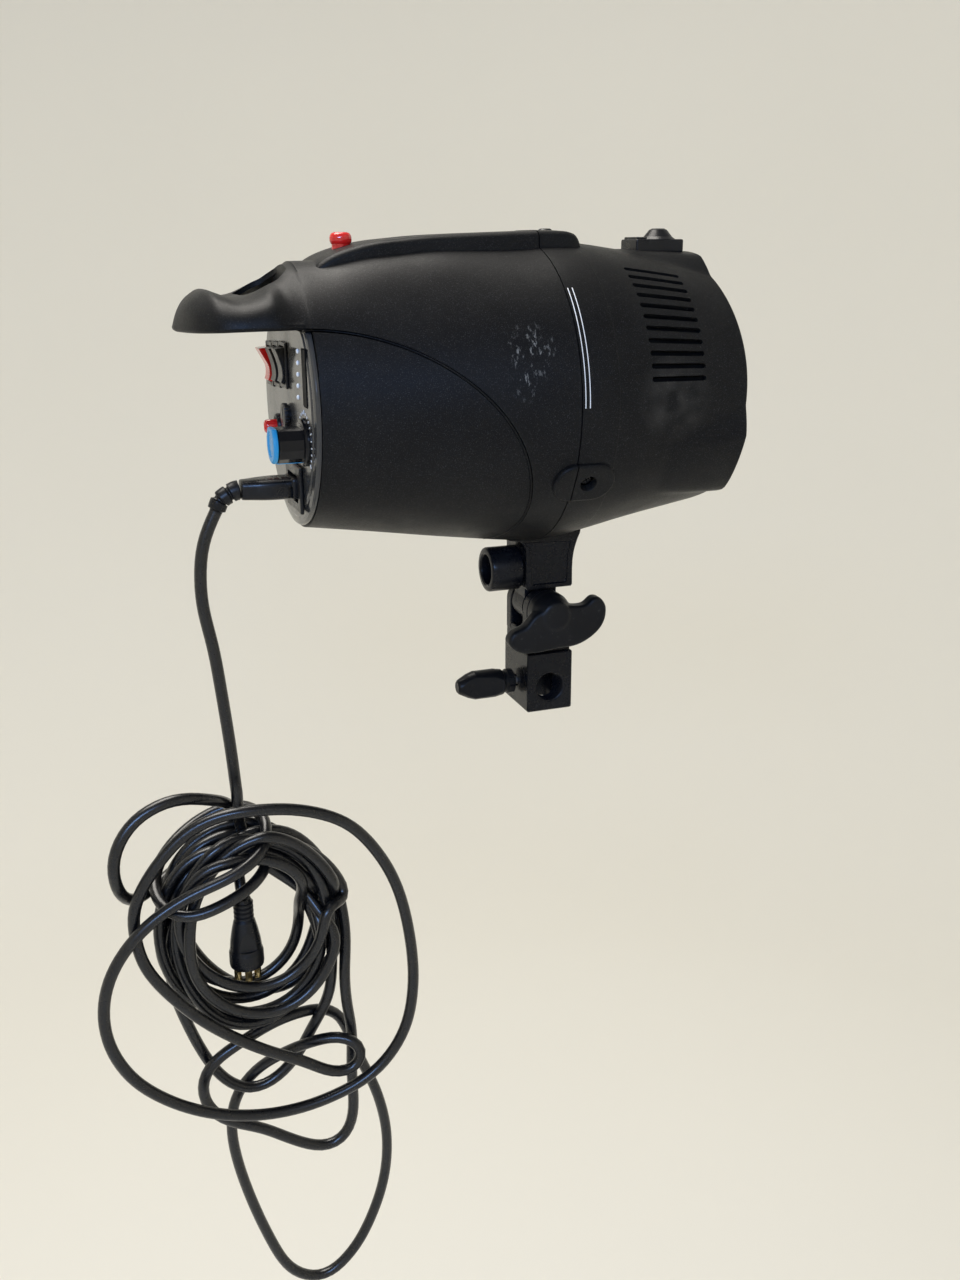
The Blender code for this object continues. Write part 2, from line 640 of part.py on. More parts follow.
def make_rocker(name, at, colour, proud):
    """A rocker switch: its frame on the panel, and the key that tips in it."""
    y, z = at[0], AXIS_Z + at[1]
    face = PANEL_X - GAP
    frame = box(name + "_frame", (0.0018, KEY_WIDE + 0.002, KEY_TALL + 0.002),
                (face - 0.0009, y, z), None, 0.0004)
    cut(frame, panel_box(name + "_frame_hole", at, KEY_WIDE - 0.0018, KEY_TALL - 0.0018))
    finish(frame, "black")
    half = KEY_TALL / 2 - 0.0014
    outline = [(0.0105, -half + 0.002), (0.0105, half - 0.002), (0.0, half), (-proud, half - 0.0002),
               (-0.0012, 0.0), (-0.0018, -half + 0.0002), (0.0, -half)]
    key = prism(name + "_key", outline, KEY_WIDE - 0.0026, (face - KEY_AXIS, y, z), "Y")
    finish(key, colour)


def make_knob():
    y, z = KNOB_AT[0], AXIS_Z + KNOB_AT[1]
    base = PANEL_X - GAP
    knob = rod("power_knob", 0.0109, 0.0018, (base - 0.0009, y, z), "X", 32)
    grip = rod("knob_grip", 0.0088, 0.0122, (base - 0.0073, y, z), "X", 32, CUTTERS)
    flat = box("knob_flat", (0.0118, 0.030, 0.010), (base - 0.0078, y, z + 0.0120), CUTTERS)
    shaft_hole = rod("knob_bore", 0.0031, 0.008, (base, y, z), "X", 20, CUTTERS)
    join(knob, grip)
    cut(knob, flat, shaft_hole)
    finish(knob, "black")
    cap = rod("knob_cap", 0.0090, 0.0022, (base - 0.0136 - 0.0011, y, z), "X", 32, tip=0.0090)
    cut(cap, box("cap_flat", (0.01, 0.030, 0.010), (base - 0.0147, y, z + 0.0122), CUTTERS))
    finish(cap, "blue")
    pot = turned("power_potentiometer", [(0, 0.0118), (0.0028, 0.0118), (0.0028, 0.0050),
                                         (0.0080, 0.0050), (0.0080, -0.0050), (0, -0.0050)],
                 (PANEL_X + PANEL_THICK + 0.0085, y, z), "X", 20)
    pot.matrix_world = pot.matrix_world @ Matrix.Rotation(math.pi, 4, "X")
    finish(pot, "steel")


def make_small_controls():
    face = PANEL_X - GAP
    y, z = TEST_AT[0], AXIS_Z + TEST_AT[1]
    bezel = turned("test_button_bezel", [(0.0062, 0.0), (0.0062, -0.0016), (0.0040, -0.0016),
                                         (0.0040, 0.0)], (face, y, z), "X", 24)
    finish(bezel, "black")
    button = turned("test_button", [(0, 0.0035), (0.0034, 0.0035), (0.0034, -0.0058), (0.0026, -0.0070),
                                    (0, -0.0072)], (face, y, z), "X", 24)
    finish(button, "red")
    y, z = FUSE_AT[0], AXIS_Z + FUSE_AT[1]
    holder = turned("fuse_holder", [(0.0048, 0.024), (0.0048, -0.0014), (0.0040, -0.0014),
                                    (0.0040, 0.022), (0, 0.022), (0, 0.024)],
                    (face, y, z), "X", 20)
    finish(holder, "black")
    cap = turned("fuse_cap", [(0, 0.006), (0.0036, 0.006), (0.0036, -0.0017), (0.0060, -0.0017),
                              (0.0060, -0.0052), (0.0054, -0.0058), (0, -0.0058)],
                 (face, y, z), "X", 20)
    finish(cap, "black")
    y, z, wide, tall = WINDOW
    window = box("indicator_window", (0.003, wide - 0.0008, tall - 0.0008),
                 (PANEL_X + 0.0011, y, AXIS_Z + z), None, 0.0003)
    finish(window, "black")


def make_inlet():
    y, z = INLET_AT[0], AXIS_Z + INLET_AT[1]
    face = PANEL_X - GAP
    inlet = box("mains_inlet", (0.0016, INLET_WIDE + 0.003, INLET_TALL + 0.0025),
                (face - 0.0008, y, z), None, 0.0004)
    barrel = box("inlet_body", (0.0206, INLET_WIDE - 0.0028, INLET_TALL - 0.0028),
                 (face + 0.0098, y, z), CUTTERS)
    join(inlet, barrel)
    cut(inlet, box("inlet_mouth", (0.036, INLET_WIDE - 0.0064, INLET_TALL - 0.0064),
                   (face, y, z), CUTTERS, 0.001))
    pins = [box(f"pin_{k}", (0.013, 0.002, 0.004), (face + 0.0127, y + shift, z + lift), CUTTERS)
            for k, (shift, lift) in enumerate(((-0.007, -0.0015), (0, 0.002), (0.007, -0.0015)))]
    join(inlet, *pins)
    finish(inlet, "black")


# ---------------------------------------------------------------- front: mount, tube and lamp

def make_front_parts():
    plate = turned("accessory_mount_plate", [(PLATE_OUTER, PLATE_THICK / 2), (PLATE_OUTER, -PLATE_THICK / 2),
                                             (PLATE_INNER, -PLATE_THICK / 2), (PLATE_INNER, PLATE_THICK / 2)],
                   (PLATE_X, 0, AXIS_Z), "X", 32)
    cut(plate, box("latch_slot", (0.02, 0.0066, 0.012), (PLATE_X, 0, AXIS_Z + PLATE_OUTER), CUTTERS))
    for lobe in LOBES[1:] + (30,):
        angle = math.radians(lobe)
        cut(plate, rod("bayonet_hole", 0.0030, 0.02, (PLATE_X, 0.0505 * math.cos(angle),
                                                      AXIS_Z + 0.0505 * math.sin(angle)), "X", 16, CUTTERS))
    finish(plate, "aluminium")
    base = turned("tube_base", [(0.0385, 0.002), (0.0385, -0.002), (0.0150, -0.002), (0.0150, 0.002)],
                  (0.0655, 0, AXIS_Z), "X", 32)
    finish(base, "ceramic")
    arc = [(0.0765, 0.030 * math.sin(math.radians(a)), AXIS_Z - 0.030 * math.cos(math.radians(a)))
           for a in range(16, 345, 16)]
    legs_start = (0.0680, arc[0][1], arc[0][2])
    legs_end = (0.0680, arc[-1][1], arc[-1][2])
    finish(wire("flash_tube", [legs_start, *arc, legs_end], 0.0036), "glass")
    cover = turned("glass_cover", [(0, 0.034), (0.014, 0.0330), (0.028, 0.0290), (0.037, 0.0220),
                                   (0.0405, 0.0120), (0.0405, 0.0), (0.0380, 0.0), (0.0380, 0.0120),
                                   (0.0350, 0.0200), (0.0265, 0.0265), (0.013, 0.0305), (0, 0.0315)],
                   (0.0682, 0, AXIS_Z), "X", 24)
    finish(cover, "glass")
    socket = turned("lamp_socket", [(0.0135, 0.014), (0.0145, 0.0), (0.0145, -0.020), (0.011, -0.026),
                                    (0, -0.026), (0, -0.020), (0.0115, -0.018), (0.0115, 0.014)],
                    (0.0545, 0, AXIS_Z), "X", 24)
    finish(socket, "ceramic")
    lamp = turned("modelling_lamp", [(0, 0.0260), (0.0070, 0.0245), (0.0112, 0.0180), (0.0125, 0.0115),
                                     (0.0105, 0.0065), (0.0105, -0.0190), (0.006, -0.0225), (0, -0.0225)],
                   (0.0615, 0, AXIS_Z), "X", 24)
    finish(lamp, "glass")


def make_lock_slider():
    start, end = SLIDER_X
    base = AXIS_Z + SLIDER_Z
    slider = box("lock_slider", (end - start, 0.021, 0.0036), ((start + end) / 2, 0, base + 0.0021),
                 None, 0.0008)
    bump = rod("slider_bump", 0.0088, 0.0050, (0.0640, 0, base + 0.0055), "Z", 24, CUTTERS, 0.0035)
    stem = box("slider_stem", (0.010, 0.0050, 0.0168), (0.0625, 0, base - 0.0064), CUTTERS)
    finish(join(slider, bump, stem), "black")
    latch = box("lock_latch", (0.0185, 0.0056, 0.0034), (0.0700, 0, base - 0.0168), None, 0.0004)
    finish(latch, "steel")
    turns, coil_r, steps = 4, 0.0026, 6
    count = turns * steps
    coil = [(0.0420 + 0.0148 * k / count, coil_r * math.cos(2 * math.pi * k / steps),
             base - 0.0168 + coil_r * math.sin(2 * math.pi * k / steps)) for k in range(count + 1)]
    finish(wire("lock_spring", coil, 0.0004, 1), "steel")


def make_slave_sensor():
    centre = (-0.1024, 0, AXIS_Z)
    cell = rod("slave_cell", 0.0022, 0.0030, (centre[0], 0, AXIS_Z + 0.0700), "Z", 16)
    finish(cell, "black")
    dome = turned("slave_dome", [(0, 0.0788), (0.0024, 0.0784), (0.0042, 0.0773), (0.0051, 0.0757),
                                 (0.0051, 0.0750), (0.0043, 0.0750), (0.0043, 0.0690), (0.0026, 0.0690),
                                 (0.0026, 0.0735), (0, 0.0745)], centre, "Z", 20)
    finish(dome, "red")


# ---------------------------------------------------------------- inside the head

def make_internals():
    tray_z = AXIS_Z - 0.0300
    tray = box("inner_chassis", (0.148, 0.088, 0.0020), (-0.0300, 0, tray_z))
    fence = box("chassis_fence", (0.002, 0.088, 0.013), (0.0430, 0, tray_z + 0.0060), CUTTERS)
    posts = [rod(f"post_{k}", 0.0050, 0.0280, (x, 0, tray_z - 0.0135), "Z", 16, CUTTERS)
             for k, x in enumerate((-0.016, 0.006))]
    join(tray, fence, *posts)
    finish(tray, "aluminium")
    for name, y in (("capacitor_left", -0.021), ("capacitor_right", 0.021)):
        can = turned(name, [(0, 0.036), (0.0160, 0.036), (0.0175, 0.0345), (0.0175, -0.0345),
                            (0.0160, -0.036), (0, -0.036)], (-0.0080, y, tray_z + 0.0190), "X", 24)
        finish(can, "sleeve")
    board = box("power_board", (0.080, 0.082, 0.0016), (-0.0080, 0, AXIS_Z + 0.0160))
    finish(board, "board")
    choke = box("charging_transformer", (0.030, 0.034, 0.030), (-0.0900, 0, tray_z + 0.0165), None, 0.002)
    finish(choke, "black")
    trigger = rod("trigger_transformer", 0.0085, 0.022, (0.0180, 0, AXIS_Z + 0.0258), "X", 20)
    finish(trigger, "brass")
    control = box("control_board", (0.0016, 0.078, 0.030), (PANEL_X + 0.0275, 0.0, AXIS_Z + 0.0190))
    finish(control, "board")


# ---------------------------------------------------------------- tilt bracket

def make_foot():
    """The metal foot under the head, with the tongue that the clevis holds."""
    top = AXIS_Z - 0.0682
    outline = [(-0.0265, top), (-0.0235, top - 0.0040), (-0.0130, top - 0.0060),
               (-0.0130, FOOT_BOTTOM), (0.0132, FOOT_BOTTOM), (0.0132, 0.0830), (0.0145, 0.0910),
               (0.0175, 0.0965), (0.0175, top)]
    foot = prism("bracket_foot", outline, 2 * FOOT_HALF, (0, 0, 0), "Y")
    tongue = rod("tongue", TONGUE_R, 2 * TONGUE_HALF, (PIVOT_X, 0, PIVOT_Z), "Y", 32, CUTTERS)
    neck = box("neck", (0.0180, 2 * TONGUE_HALF, FOOT_BOTTOM + 0.004 - PIVOT_Z),
               (PIVOT_X, 0, (PIVOT_Z + FOOT_BOTTOM + 0.004) / 2), CUTTERS)
    join(foot, neck, tongue)
    cut(foot, rod("pivot_hole", BOLT_R + GAP, 0.04, (PIVOT_X, 0, PIVOT_Z), "Y", 24, CUTTERS),
        rod("tube_seat", TUBE_SPIGOT + GAP, 0.06, (0, 0, TUBE_Z), "X", 32, CUTTERS))
    for x in (-0.016, 0.006):
        cut(foot, rod("foot_screw_hole", 0.0019, 0.0125, (x, 0, top - 0.0010), "Z", 12, CUTTERS))
    finish(foot, "bracket")


def make_foot_screws():
    top = AXIS_Z - 0.0682
    for name, x in (("foot_screw_rear", -0.016), ("foot_screw_front", 0.006)):
        finish(rod(name, 0.0015, 0.0050, (x, 0, top - 0.0022), "Z", 12), "steel")


def make_umbrella_tube():
    start, end = TUBE_X
    foot = -0.0130 - GAP
    tube = turned("umbrella_tube", [(TUBE_SPIGOT, end), (TUBE_SPIGOT, foot), (TUBE_R, foot),
                                    (TUBE_R, start + 0.0006), (TUBE_R - 0.0006, start),
                                    (TUBE_MOUTH, start), (TUBE_MOUTH, foot - 0.003),
                                    (TUBE_BORE, foot - 0.003), (TUBE_BORE, end)],
                  (0, 0, TUBE_Z), "X", 28)
    finish(tube, "bracket")


def make_stand_block():
    wide, deep, tall = BLOCK
    block = box("stand_block", (wide, deep, tall), (0, 0, tall / 2 + 0.0), None, 0.0008)
    shoulder = PIVOT_Z - 0.0125
    neck = prism("clevis_neck", [(-0.0128, 0.028), (0.0128, 0.028), (0.0104, shoulder),
                                 (-0.0126, shoulder)], 2 * EAR_OUT, (0, 0, 0), "Y", CUTTERS)
    ears = []
    for side in (-1, 1):
        middle = side * (EAR_IN + EAR_OUT) / 2
        outline = [(PIVOT_X - EAR_R, 0.040), (PIVOT_X + EAR_R, 0.040)]
        outline += [(PIVOT_X + EAR_R * math.cos(math.pi * k / 12),
                     PIVOT_Z + EAR_R * math.sin(math.pi * k / 12)) for k in range(13)]
        ears.append(prism("ear", outline, EAR_OUT - EAR_IN, (0, middle, 0), "Y", CUTTERS))
    join(block, neck, *ears)
    side_bore = rod("side_bore", SOCKET_R, deep, (0, -deep / 2, SIDE_HOLE_Z), "Y", 32, CUTTERS)
    cut(block, rod("stand_bore", SOCKET_R, 2 * SOCKET_DEEP, (0, 0, 0), "Z", 36, CUTTERS), side_bore,
        rod("knob_thread", 0.0033, 0.02, (-wide / 2, 0, KNOB_Z), "X", 20, CUTTERS),
        rod("bolt_bore", BOLT_R + GAP, 0.05, (PIVOT_X, 0, PIVOT_Z), "Y", 24, CUTTERS),
        box("far_corner", (0.05, 0.02, 0.02), (0, deep / 2 + 0.0035, -0.0035), CUTTERS, 0.006))
    finish(block, "bracket")


def make_pivot():
    """Bolt, nut and friction washers of the tilt clamp, and its handle."""
    bolt = rod("pivot_bolt", BOLT_R, 0.0400, (PIVOT_X, -0.0035, PIVOT_Z), "Y", 20)
    finish(bolt, "steel")
    nut = rod("pivot_nut", 0.0068, 0.0060, (PIVOT_X, EAR_OUT + GAP + 0.0030, PIVOT_Z), "Y", 6)
    cut(nut, rod("nut_bore", BOLT_R + GAP, 0.02, (PIVOT_X, EAR_OUT, PIVOT_Z), "Y", 20, CUTTERS))
    finish(nut, "steel")
    for name, side in (("friction_washer_left", -1), ("friction_washer_right", 1)):
        half = (EAR_IN - TONGUE_HALF) / 2 - GAP
        washer = turned(name, [(0.0088, half), (0.0088, -half), (BOLT_R + GAP, -half),
                               (BOLT_R + GAP, half)],
                        (PIVOT_X, side * (EAR_IN + TONGUE_HALF) / 2, PIVOT_Z), "Y", 24)
        finish(washer, "steel")


def make_tilt_handle():
    """The wing handle on the -Y side: a round hub, and two wings that hang below it."""
    inner, outer = -EAR_OUT - GAP, -EAR_OUT - GAP - HANDLE_DEEP
    hub = rod("tilt_handle", HANDLE_HUB, HANDLE_DEEP, (PIVOT_X, (inner + outer) / 2, PIVOT_Z), "Y", 28)
    outline = [(PIVOT_X + u, PIVOT_Z + v) for u, v in HANDLE_OUTLINE]
    wings = prism("wings", outline, 0.0085, (0, outer + 0.0052, 0), "Y", CUTTERS)
    join(hub, wings)
    cut(hub, rod("handle_bore", BOLT_R + GAP, 0.020, (PIVOT_X, -EAR_OUT, PIVOT_Z), "Y", 20, CUTTERS))
    finish(hub, "black")


def make_stand_knob():
    start = -BLOCK[0] / 2 - 0.0022
    knob = turned("stand_lock_knob", [(0, 0.0), (0.0062, 0.0), (0.0078, -0.0015), (0.0078, -0.0235),
                                      (0.0030, -0.0315), (0, -0.0320)], (start, 0, KNOB_Z), "X", 12)
    cut(knob, rod("stud_bore", 0.0026, 0.020, (start, 0, KNOB_Z), "X", 16, CUTTERS))
    finish(knob, "black")
    finish(rod("stand_lock_screw", 0.0023, 0.0190, (start + 0.0005 - GAP, 0, KNOB_Z), "X", 16), "steel")


# ---------------------------------------------------------------- mains lead

def make_mains_lead():
    y, z = INLET_AT[0], AXIS_Z + INLET_AT[1]
    mouth = PANEL_X - 0.0020
    connector = box("mains_connector", (0.0250, 0.0160, 0.0106), (mouth - 0.0125, y, z), None, 0.0018)
    tongue = box("connector_nose", (0.0115, 0.0180, 0.0100), (mouth + 0.0035, y, z), CUTTERS)
    join(connector, tongue)
    cut(connector, *[box(f"pin_way_{k}", (0.03, 0.0034, 0.0054),
                         (mouth + 0.0090 + 0.0020, y + shift, z + lift), CUTTERS)
                     for k, (shift, lift) in enumerate(((-0.007, -0.0015), (0, 0.002), (0.007, -0.0015)))])
    finish(connector, "black")
    sleeve = smooth_route([(mouth - 0.0256, y, z), (mouth - 0.0290, y, z), (-0.1680, y, 0.1272),
                           SLEEVE_END], 0.0035)
    finish(wire("strain_relief", sleeve, 0.0043), "black")
    finish(domed_wire("cord_drop", smooth_route(DROP, 0.015), CORD_R), "cord")
    x, z = BUNDLE_AT
    ring = [(BUNDLE_OUTER, BUNDLE_HALF * 0.6), (BUNDLE_OUTER, -BUNDLE_HALF * 0.6),
            (BUNDLE_OUTER - 0.008, -BUNDLE_HALF), (BUNDLE_INNER + 0.006, -BUNDLE_HALF),
            (BUNDLE_INNER, -BUNDLE_HALF * 0.6), (BUNDLE_INNER, BUNDLE_HALF * 0.6),
            (BUNDLE_INNER + 0.006, BUNDLE_HALF), (BUNDLE_OUTER - 0.008, BUNDLE_HALF)]
    finish(turned("cord_bundle", ring, (x, CORD_Y, z), "Y", 28), "cord")
    for name, route in (("cord_loop_front", LOOP_FRONT), ("cord_loop_low", LOOP_LOW),
                        ("cord_loop_middle", LOOP_MIDDLE)):
        finish(wire(name, smooth_route(route, 0.018), CORD_R), "cord")
    plug = turned("mains_plug", [(0, 0.019), (0.0040, 0.019), (0.0055, 0.010), (0.0080, -0.004),
                                 (0.0090, -0.0180), (0.0070, -0.0205), (0, -0.021)],
                  PLUG_AT, "Z", 20)
    finish(plug, "black")


def carry(name, place, pieces):
    """An empty on a joint's axis, as the parent of the pieces that move about it."""
    empty = bpy.data.objects.new(name, None)
    PARTS.objects.link(empty)
    empty.location = place
    for piece in pieces:
        piece.parent = empty
        piece.matrix_parent_inverse = Matrix.Translation(place).inverted()
    return empty


def named(*names):
    return [bpy.data.objects[name] for name in names]


def place_on_axes():
    """Gives every moving group an empty on its joint's axis, the cord's on the head's."""
    face = PANEL_X - GAP
    for key, at in (("power", POWER_KEY), ("lamp", LAMP_KEY), ("sound", SOUND_KEY)):
        carry(key + "_rocker_axis", (face - KEY_AXIS, at[0], AXIS_Z + at[1]),
              named(key + "_rocker_key"))
    for name, at, pieces in (("power_knob_axis", KNOB_AT, ("power_knob", "knob_cap")),
                             ("test_button_axis", TEST_AT, ("test_button",)),
                             ("fuse_cap_axis", FUSE_AT, ("fuse_cap",))):
        carry(name, (face, at[0], AXIS_Z + at[1]), named(*pieces))
    carry("lock_slider_axis", (SLIDER_X[0], 0, AXIS_Z + SLIDER_Z), named("lock_slider", "lock_latch"))
    carry("tilt_handle_axis", (PIVOT_X, -EAR_OUT, PIVOT_Z), named("tilt_handle"))
    carry("stand_lock_axis", (-BLOCK[0] / 2, 0, KNOB_Z), named("stand_lock_knob", "stand_lock_screw"))
    carry("cord_swing_axis", EXIT, named("cord_drop", "cord_bundle", "cord_loop_front",
                                         "cord_loop_low", "cord_loop_middle", "mains_plug"))
    on_block = named("stand_block", "pivot_bolt", "pivot_nut", "friction_washer_left",
                     "friction_washer_right", "tilt_handle_axis", "stand_lock_axis")
    head = [obj for obj in PARTS.objects if obj.parent is None and obj not in on_block]
    carry("head_tilt_axis", (PIVOT_X, 0, PIVOT_Z), head)


clear_scene()
PARTS = new_collection(NAME)
CUTTERS = new_collection("cutters")
make_rear_upper_shell()
make_rear_lower_shell()
make_front_shell()
make_shell_screws()
make_panel()
make_rocker("power_rocker", POWER_KEY, "red", 0.0058)
make_rocker("lamp_rocker", LAMP_KEY, "black", 0.0040)
make_rocker("sound_rocker", SOUND_KEY, "black", 0.0040)
make_knob()
make_small_controls()
make_inlet()
make_front_parts()
make_lock_slider()
make_slave_sensor()
make_internals()
make_foot()
make_foot_screws()
make_umbrella_tube()
make_stand_block()
make_pivot()
make_tilt_handle()
make_stand_knob()
make_mains_lead()
place_on_axes()
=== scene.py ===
"""Looks of the studio monolight: casing, control panel, bracket and the tied mains lead.

Metres, +Z up, nose along +X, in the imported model's own frame.
"""

import json
import random
from math import asin, copysign, cos, degrees as to_degrees, pi, radians, sin, sqrt, tanh, tau

import bmesh
import bpy
import numpy as np
from mathutils import Matrix, Vector

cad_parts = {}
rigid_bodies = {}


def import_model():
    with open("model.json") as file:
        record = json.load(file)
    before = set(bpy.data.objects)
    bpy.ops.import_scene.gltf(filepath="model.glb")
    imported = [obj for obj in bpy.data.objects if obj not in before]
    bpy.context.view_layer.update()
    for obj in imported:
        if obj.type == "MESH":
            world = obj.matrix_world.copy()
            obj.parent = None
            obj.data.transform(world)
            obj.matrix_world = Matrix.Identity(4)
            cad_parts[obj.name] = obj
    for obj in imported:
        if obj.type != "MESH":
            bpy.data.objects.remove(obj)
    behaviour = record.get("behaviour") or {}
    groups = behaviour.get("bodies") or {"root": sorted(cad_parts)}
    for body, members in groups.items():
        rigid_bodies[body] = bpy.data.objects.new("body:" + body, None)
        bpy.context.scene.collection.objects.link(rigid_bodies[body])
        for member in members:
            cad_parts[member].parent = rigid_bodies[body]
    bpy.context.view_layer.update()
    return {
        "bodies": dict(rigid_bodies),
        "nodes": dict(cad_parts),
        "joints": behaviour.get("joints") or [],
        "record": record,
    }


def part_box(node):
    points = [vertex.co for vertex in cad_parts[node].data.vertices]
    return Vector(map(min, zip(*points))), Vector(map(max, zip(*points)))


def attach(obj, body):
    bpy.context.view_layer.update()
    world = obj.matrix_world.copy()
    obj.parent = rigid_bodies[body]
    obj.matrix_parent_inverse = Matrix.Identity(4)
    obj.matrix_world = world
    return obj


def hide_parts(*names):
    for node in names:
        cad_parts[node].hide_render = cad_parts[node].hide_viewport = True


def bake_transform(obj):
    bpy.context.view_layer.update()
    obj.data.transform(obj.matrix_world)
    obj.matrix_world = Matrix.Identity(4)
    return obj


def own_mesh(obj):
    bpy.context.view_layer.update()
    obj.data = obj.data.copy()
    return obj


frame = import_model()
NODES = frame["nodes"]


def centre_of(node):
    low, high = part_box(node)
    return (Vector(low) + Vector(high)) / 2


# ---------------------------------------------------------------- sizes, as in the CAD model

AXIS_Z = centre_of("accessory_mount_plate").z      # the barrel's axis
REAR_X, SEAM_X, RIM_X = -0.128, -0.011, 0.0805
WALL = 0.0026
STATIONS = ((-0.128, .0585), (-0.095, .0632), (-0.056, .069), (-0.011, .0745), (0.012, .0742),
    (0.036, .0712), (0.058, .0677), (0.0805, .064))
TOP_RISE = 0.0075
HOOD_EDGE, HOOD_BASE = 0.0375, 0.03
HOOD = ((-0.1285, .049, .0654, 2.0), (-0.134, .0489, .0632, 2.3), (-0.139, .0488, .059, 2.8),
    (-0.146, .0487, .0543, 3.7), (-0.152, .0481, .0517, 4.1), (-0.158, .0472, .0509, 4.0),
    (-0.164, .0452, .0528, 3.4), (-0.168, .0427, .0541, 3.0), (-0.172, .0385, .0525, 2.6),
    (-0.176, .0322, .0496, 2.3), (-0.1795, .0222, .0449, 2.0), (-0.1822, .0085, .0385, 2.0))
FINGER_HOLE = (-0.1528, -0.1312, 0.021)
HOOD_DROP, LIP_R, SHOULDER = 0.0018, 0.0016, 0.005
RIM_BULGE, BELLY_LIFT, STEP_X, FLANGE_X = 0.0026, 0.0044, 0.0082, 0.0585
GROOVE_X, GROOVE_Z, GROOVE_LONG, GROOVE_TALL = -0.1315, -0.05, 0.102, 0.0875
GROOVE_TURN, GROOVE_WIDE = 0.025, 0.0016
SPINE_HALF, SPINE_TOP = 0.0215, 0.0796
SPINE = ((-0.12, 0.063, 0.0215), (-0.118, 0.0656, 0.0222), (-0.113, 0.0686, 0.0226),
    (-0.105, 0.0716, 0.0228), (-0.093, 0.0745, 0.0228), (-0.08, 0.076, 0.0228), (-0.058, 0.0777, 0.0225),
    (SEAM_X + 0.006, SPINE_TOP, SPINE_HALF))
SPINE_NOSE = ((0.001, 0.0795, 0.0214), (0.007, 0.0788, 0.0208), (0.0105, 0.0772, 0.0196),
    (0.0132, 0.0725, 0.0182), (0.0145, 0.069, 0.0172))
SLAVE_X, CAP_X = -0.1024, 0.0014
LOBES, LOBE_RISE, LOBE_START = (90, -28, -152), 0.0055, 0.039
VENTS, VENT_TOP, VENT_STEP = 11, 58.5, 4.84
VENT_X, VENT_WIDE = (0.0263, 0.0576), 0.0025
BOSS_ANGLE, BOSS_X = -27.5, -0.004
SCREW_X = BOSS_X + 0.0005
SPRING_X, SPRING_Z, SPRING_LONG, SPRING_KEEP = 0.042, 0.054, 0.0148, 0.66
PANEL_X, PANEL_FACE, PANEL_RIM, PANEL_TOP = -0.1315, 0.0525, 0.0575, 0.0365
PIVOT = Vector((-0.002, 0, 0.0565))
CORD_R, CORD_Y = 0.003, -0.014
EXIT = Vector((-0.1707, CORD_Y, 0.1219))
SWING = Vector((-0.1724, CORD_Y, 0.1188))     # a point of the lead's path just past the exit, where the real lead flexes as the head tilts
SIDES = 176
ORIGIN = (0, 0, 0)


# ---------------------------------------------------------------- mesh helpers

def in_scene(name, data):
    obj = bpy.data.objects.new(name, data)
    bpy.context.scene.collection.objects.link(obj)
    return obj


def link(name, bm):
    """A new object from this bmesh, with its faces pointing outwards."""
    bmesh.ops.recalc_face_normals(bm, faces=bm.faces)
    mesh = bpy.data.meshes.new(name)
    bm.to_mesh(mesh)
    bm.free()
    return in_scene(name, mesh)


def stand(obj, place, angle, axis):
    """Turns a piece built at the origin about an axis, then moves it to its place."""
    obj.data.transform(Matrix.Translation(place) @ Matrix.Rotation(angle, 4, axis))
    return obj


def smooth(obj, degrees=35):
    obj.data.shade_smooth()
    obj.data.set_sharp_from_angle(angle=radians(degrees))
    return obj


def settle(obj):
    """Applies the object's modifiers and its place to its mesh."""
    bpy.context.view_layer.update()
    graph = bpy.context.evaluated_depsgraph_get()
    mesh = bpy.data.meshes.new_from_object(obj.evaluated_get(graph))
    obj.modifiers.clear()
    obj.data = mesh
    mesh.transform(obj.matrix_world)
    obj.matrix_world = Matrix.Identity(4)
    return obj


def combine(obj, other, operation, solver):
    modifier = obj.modifiers.new("combine", "BOOLEAN")
    modifier.operation, modifier.object, modifier.solver = operation, other, solver
    settle(obj)
    bpy.data.objects.remove(other)
    return obj


def cut(obj, *cutters, solver="EXACT"):
    for cutter in cutters:
        combine(obj, cutter, "DIFFERENCE", solver)
    return obj


def carve(obj, *cutters):
    """A cut of finely meshed shells, whose meshes are closed."""
    return cut(obj, *cutters, solver="MANIFOLD")


def join(obj, *others, solver="EXACT"):
    for other in others:
        combine(obj, other, "UNION", solver)
    return obj


def fuse(obj, *others):
    return join(obj, *others, solver="MANIFOLD")


def bevel(obj, width, segments=3, degrees=35):
    modifier = obj.modifiers.new("bevel", "BEVEL")
    modifier.width, modifier.segments = width, segments
    modifier.limit_method, modifier.angle_limit = "ANGLE", radians(degrees)
    return settle(obj)


def soften(obj, voxel, rounds):
    """Melts sharp joints between shapes into fillets, as in a moulding."""
    modifier = obj.modifiers.new("remesh", "REMESH")
    modifier.mode, modifier.voxel_size = "VOXEL", voxel
    modifier = obj.modifiers.new("smooth", "SMOOTH")
    modifier.iterations, modifier.factor = rounds, 0.5
    settle(obj)
    obj.data.shade_smooth()
    return obj


def facing(axis):
    turns = {"X": Matrix.Rotation(pi / 2, 4, "Y"), "Y": Matrix.Rotation(-pi / 2, 4, "X"),
             "Z": Matrix.Identity(4)}
    return turns[axis]


def around(count):
    """The angles of one full turn in count steps."""
    return [2 * pi * k / count for k in range(count)]


def bridge(bm, near, far):
    """Faces between two rings of corners, either of which may be a single point."""
    for k in range(max(len(near), len(far))):
        ring = [near[k % len(near)], near[(k + 1) % len(near)], far[(k + 1) % len(far)], far[k % len(far)]]
        ring = list(dict.fromkeys(ring))
        if len(ring) > 2:
            bm.faces.new(ring)


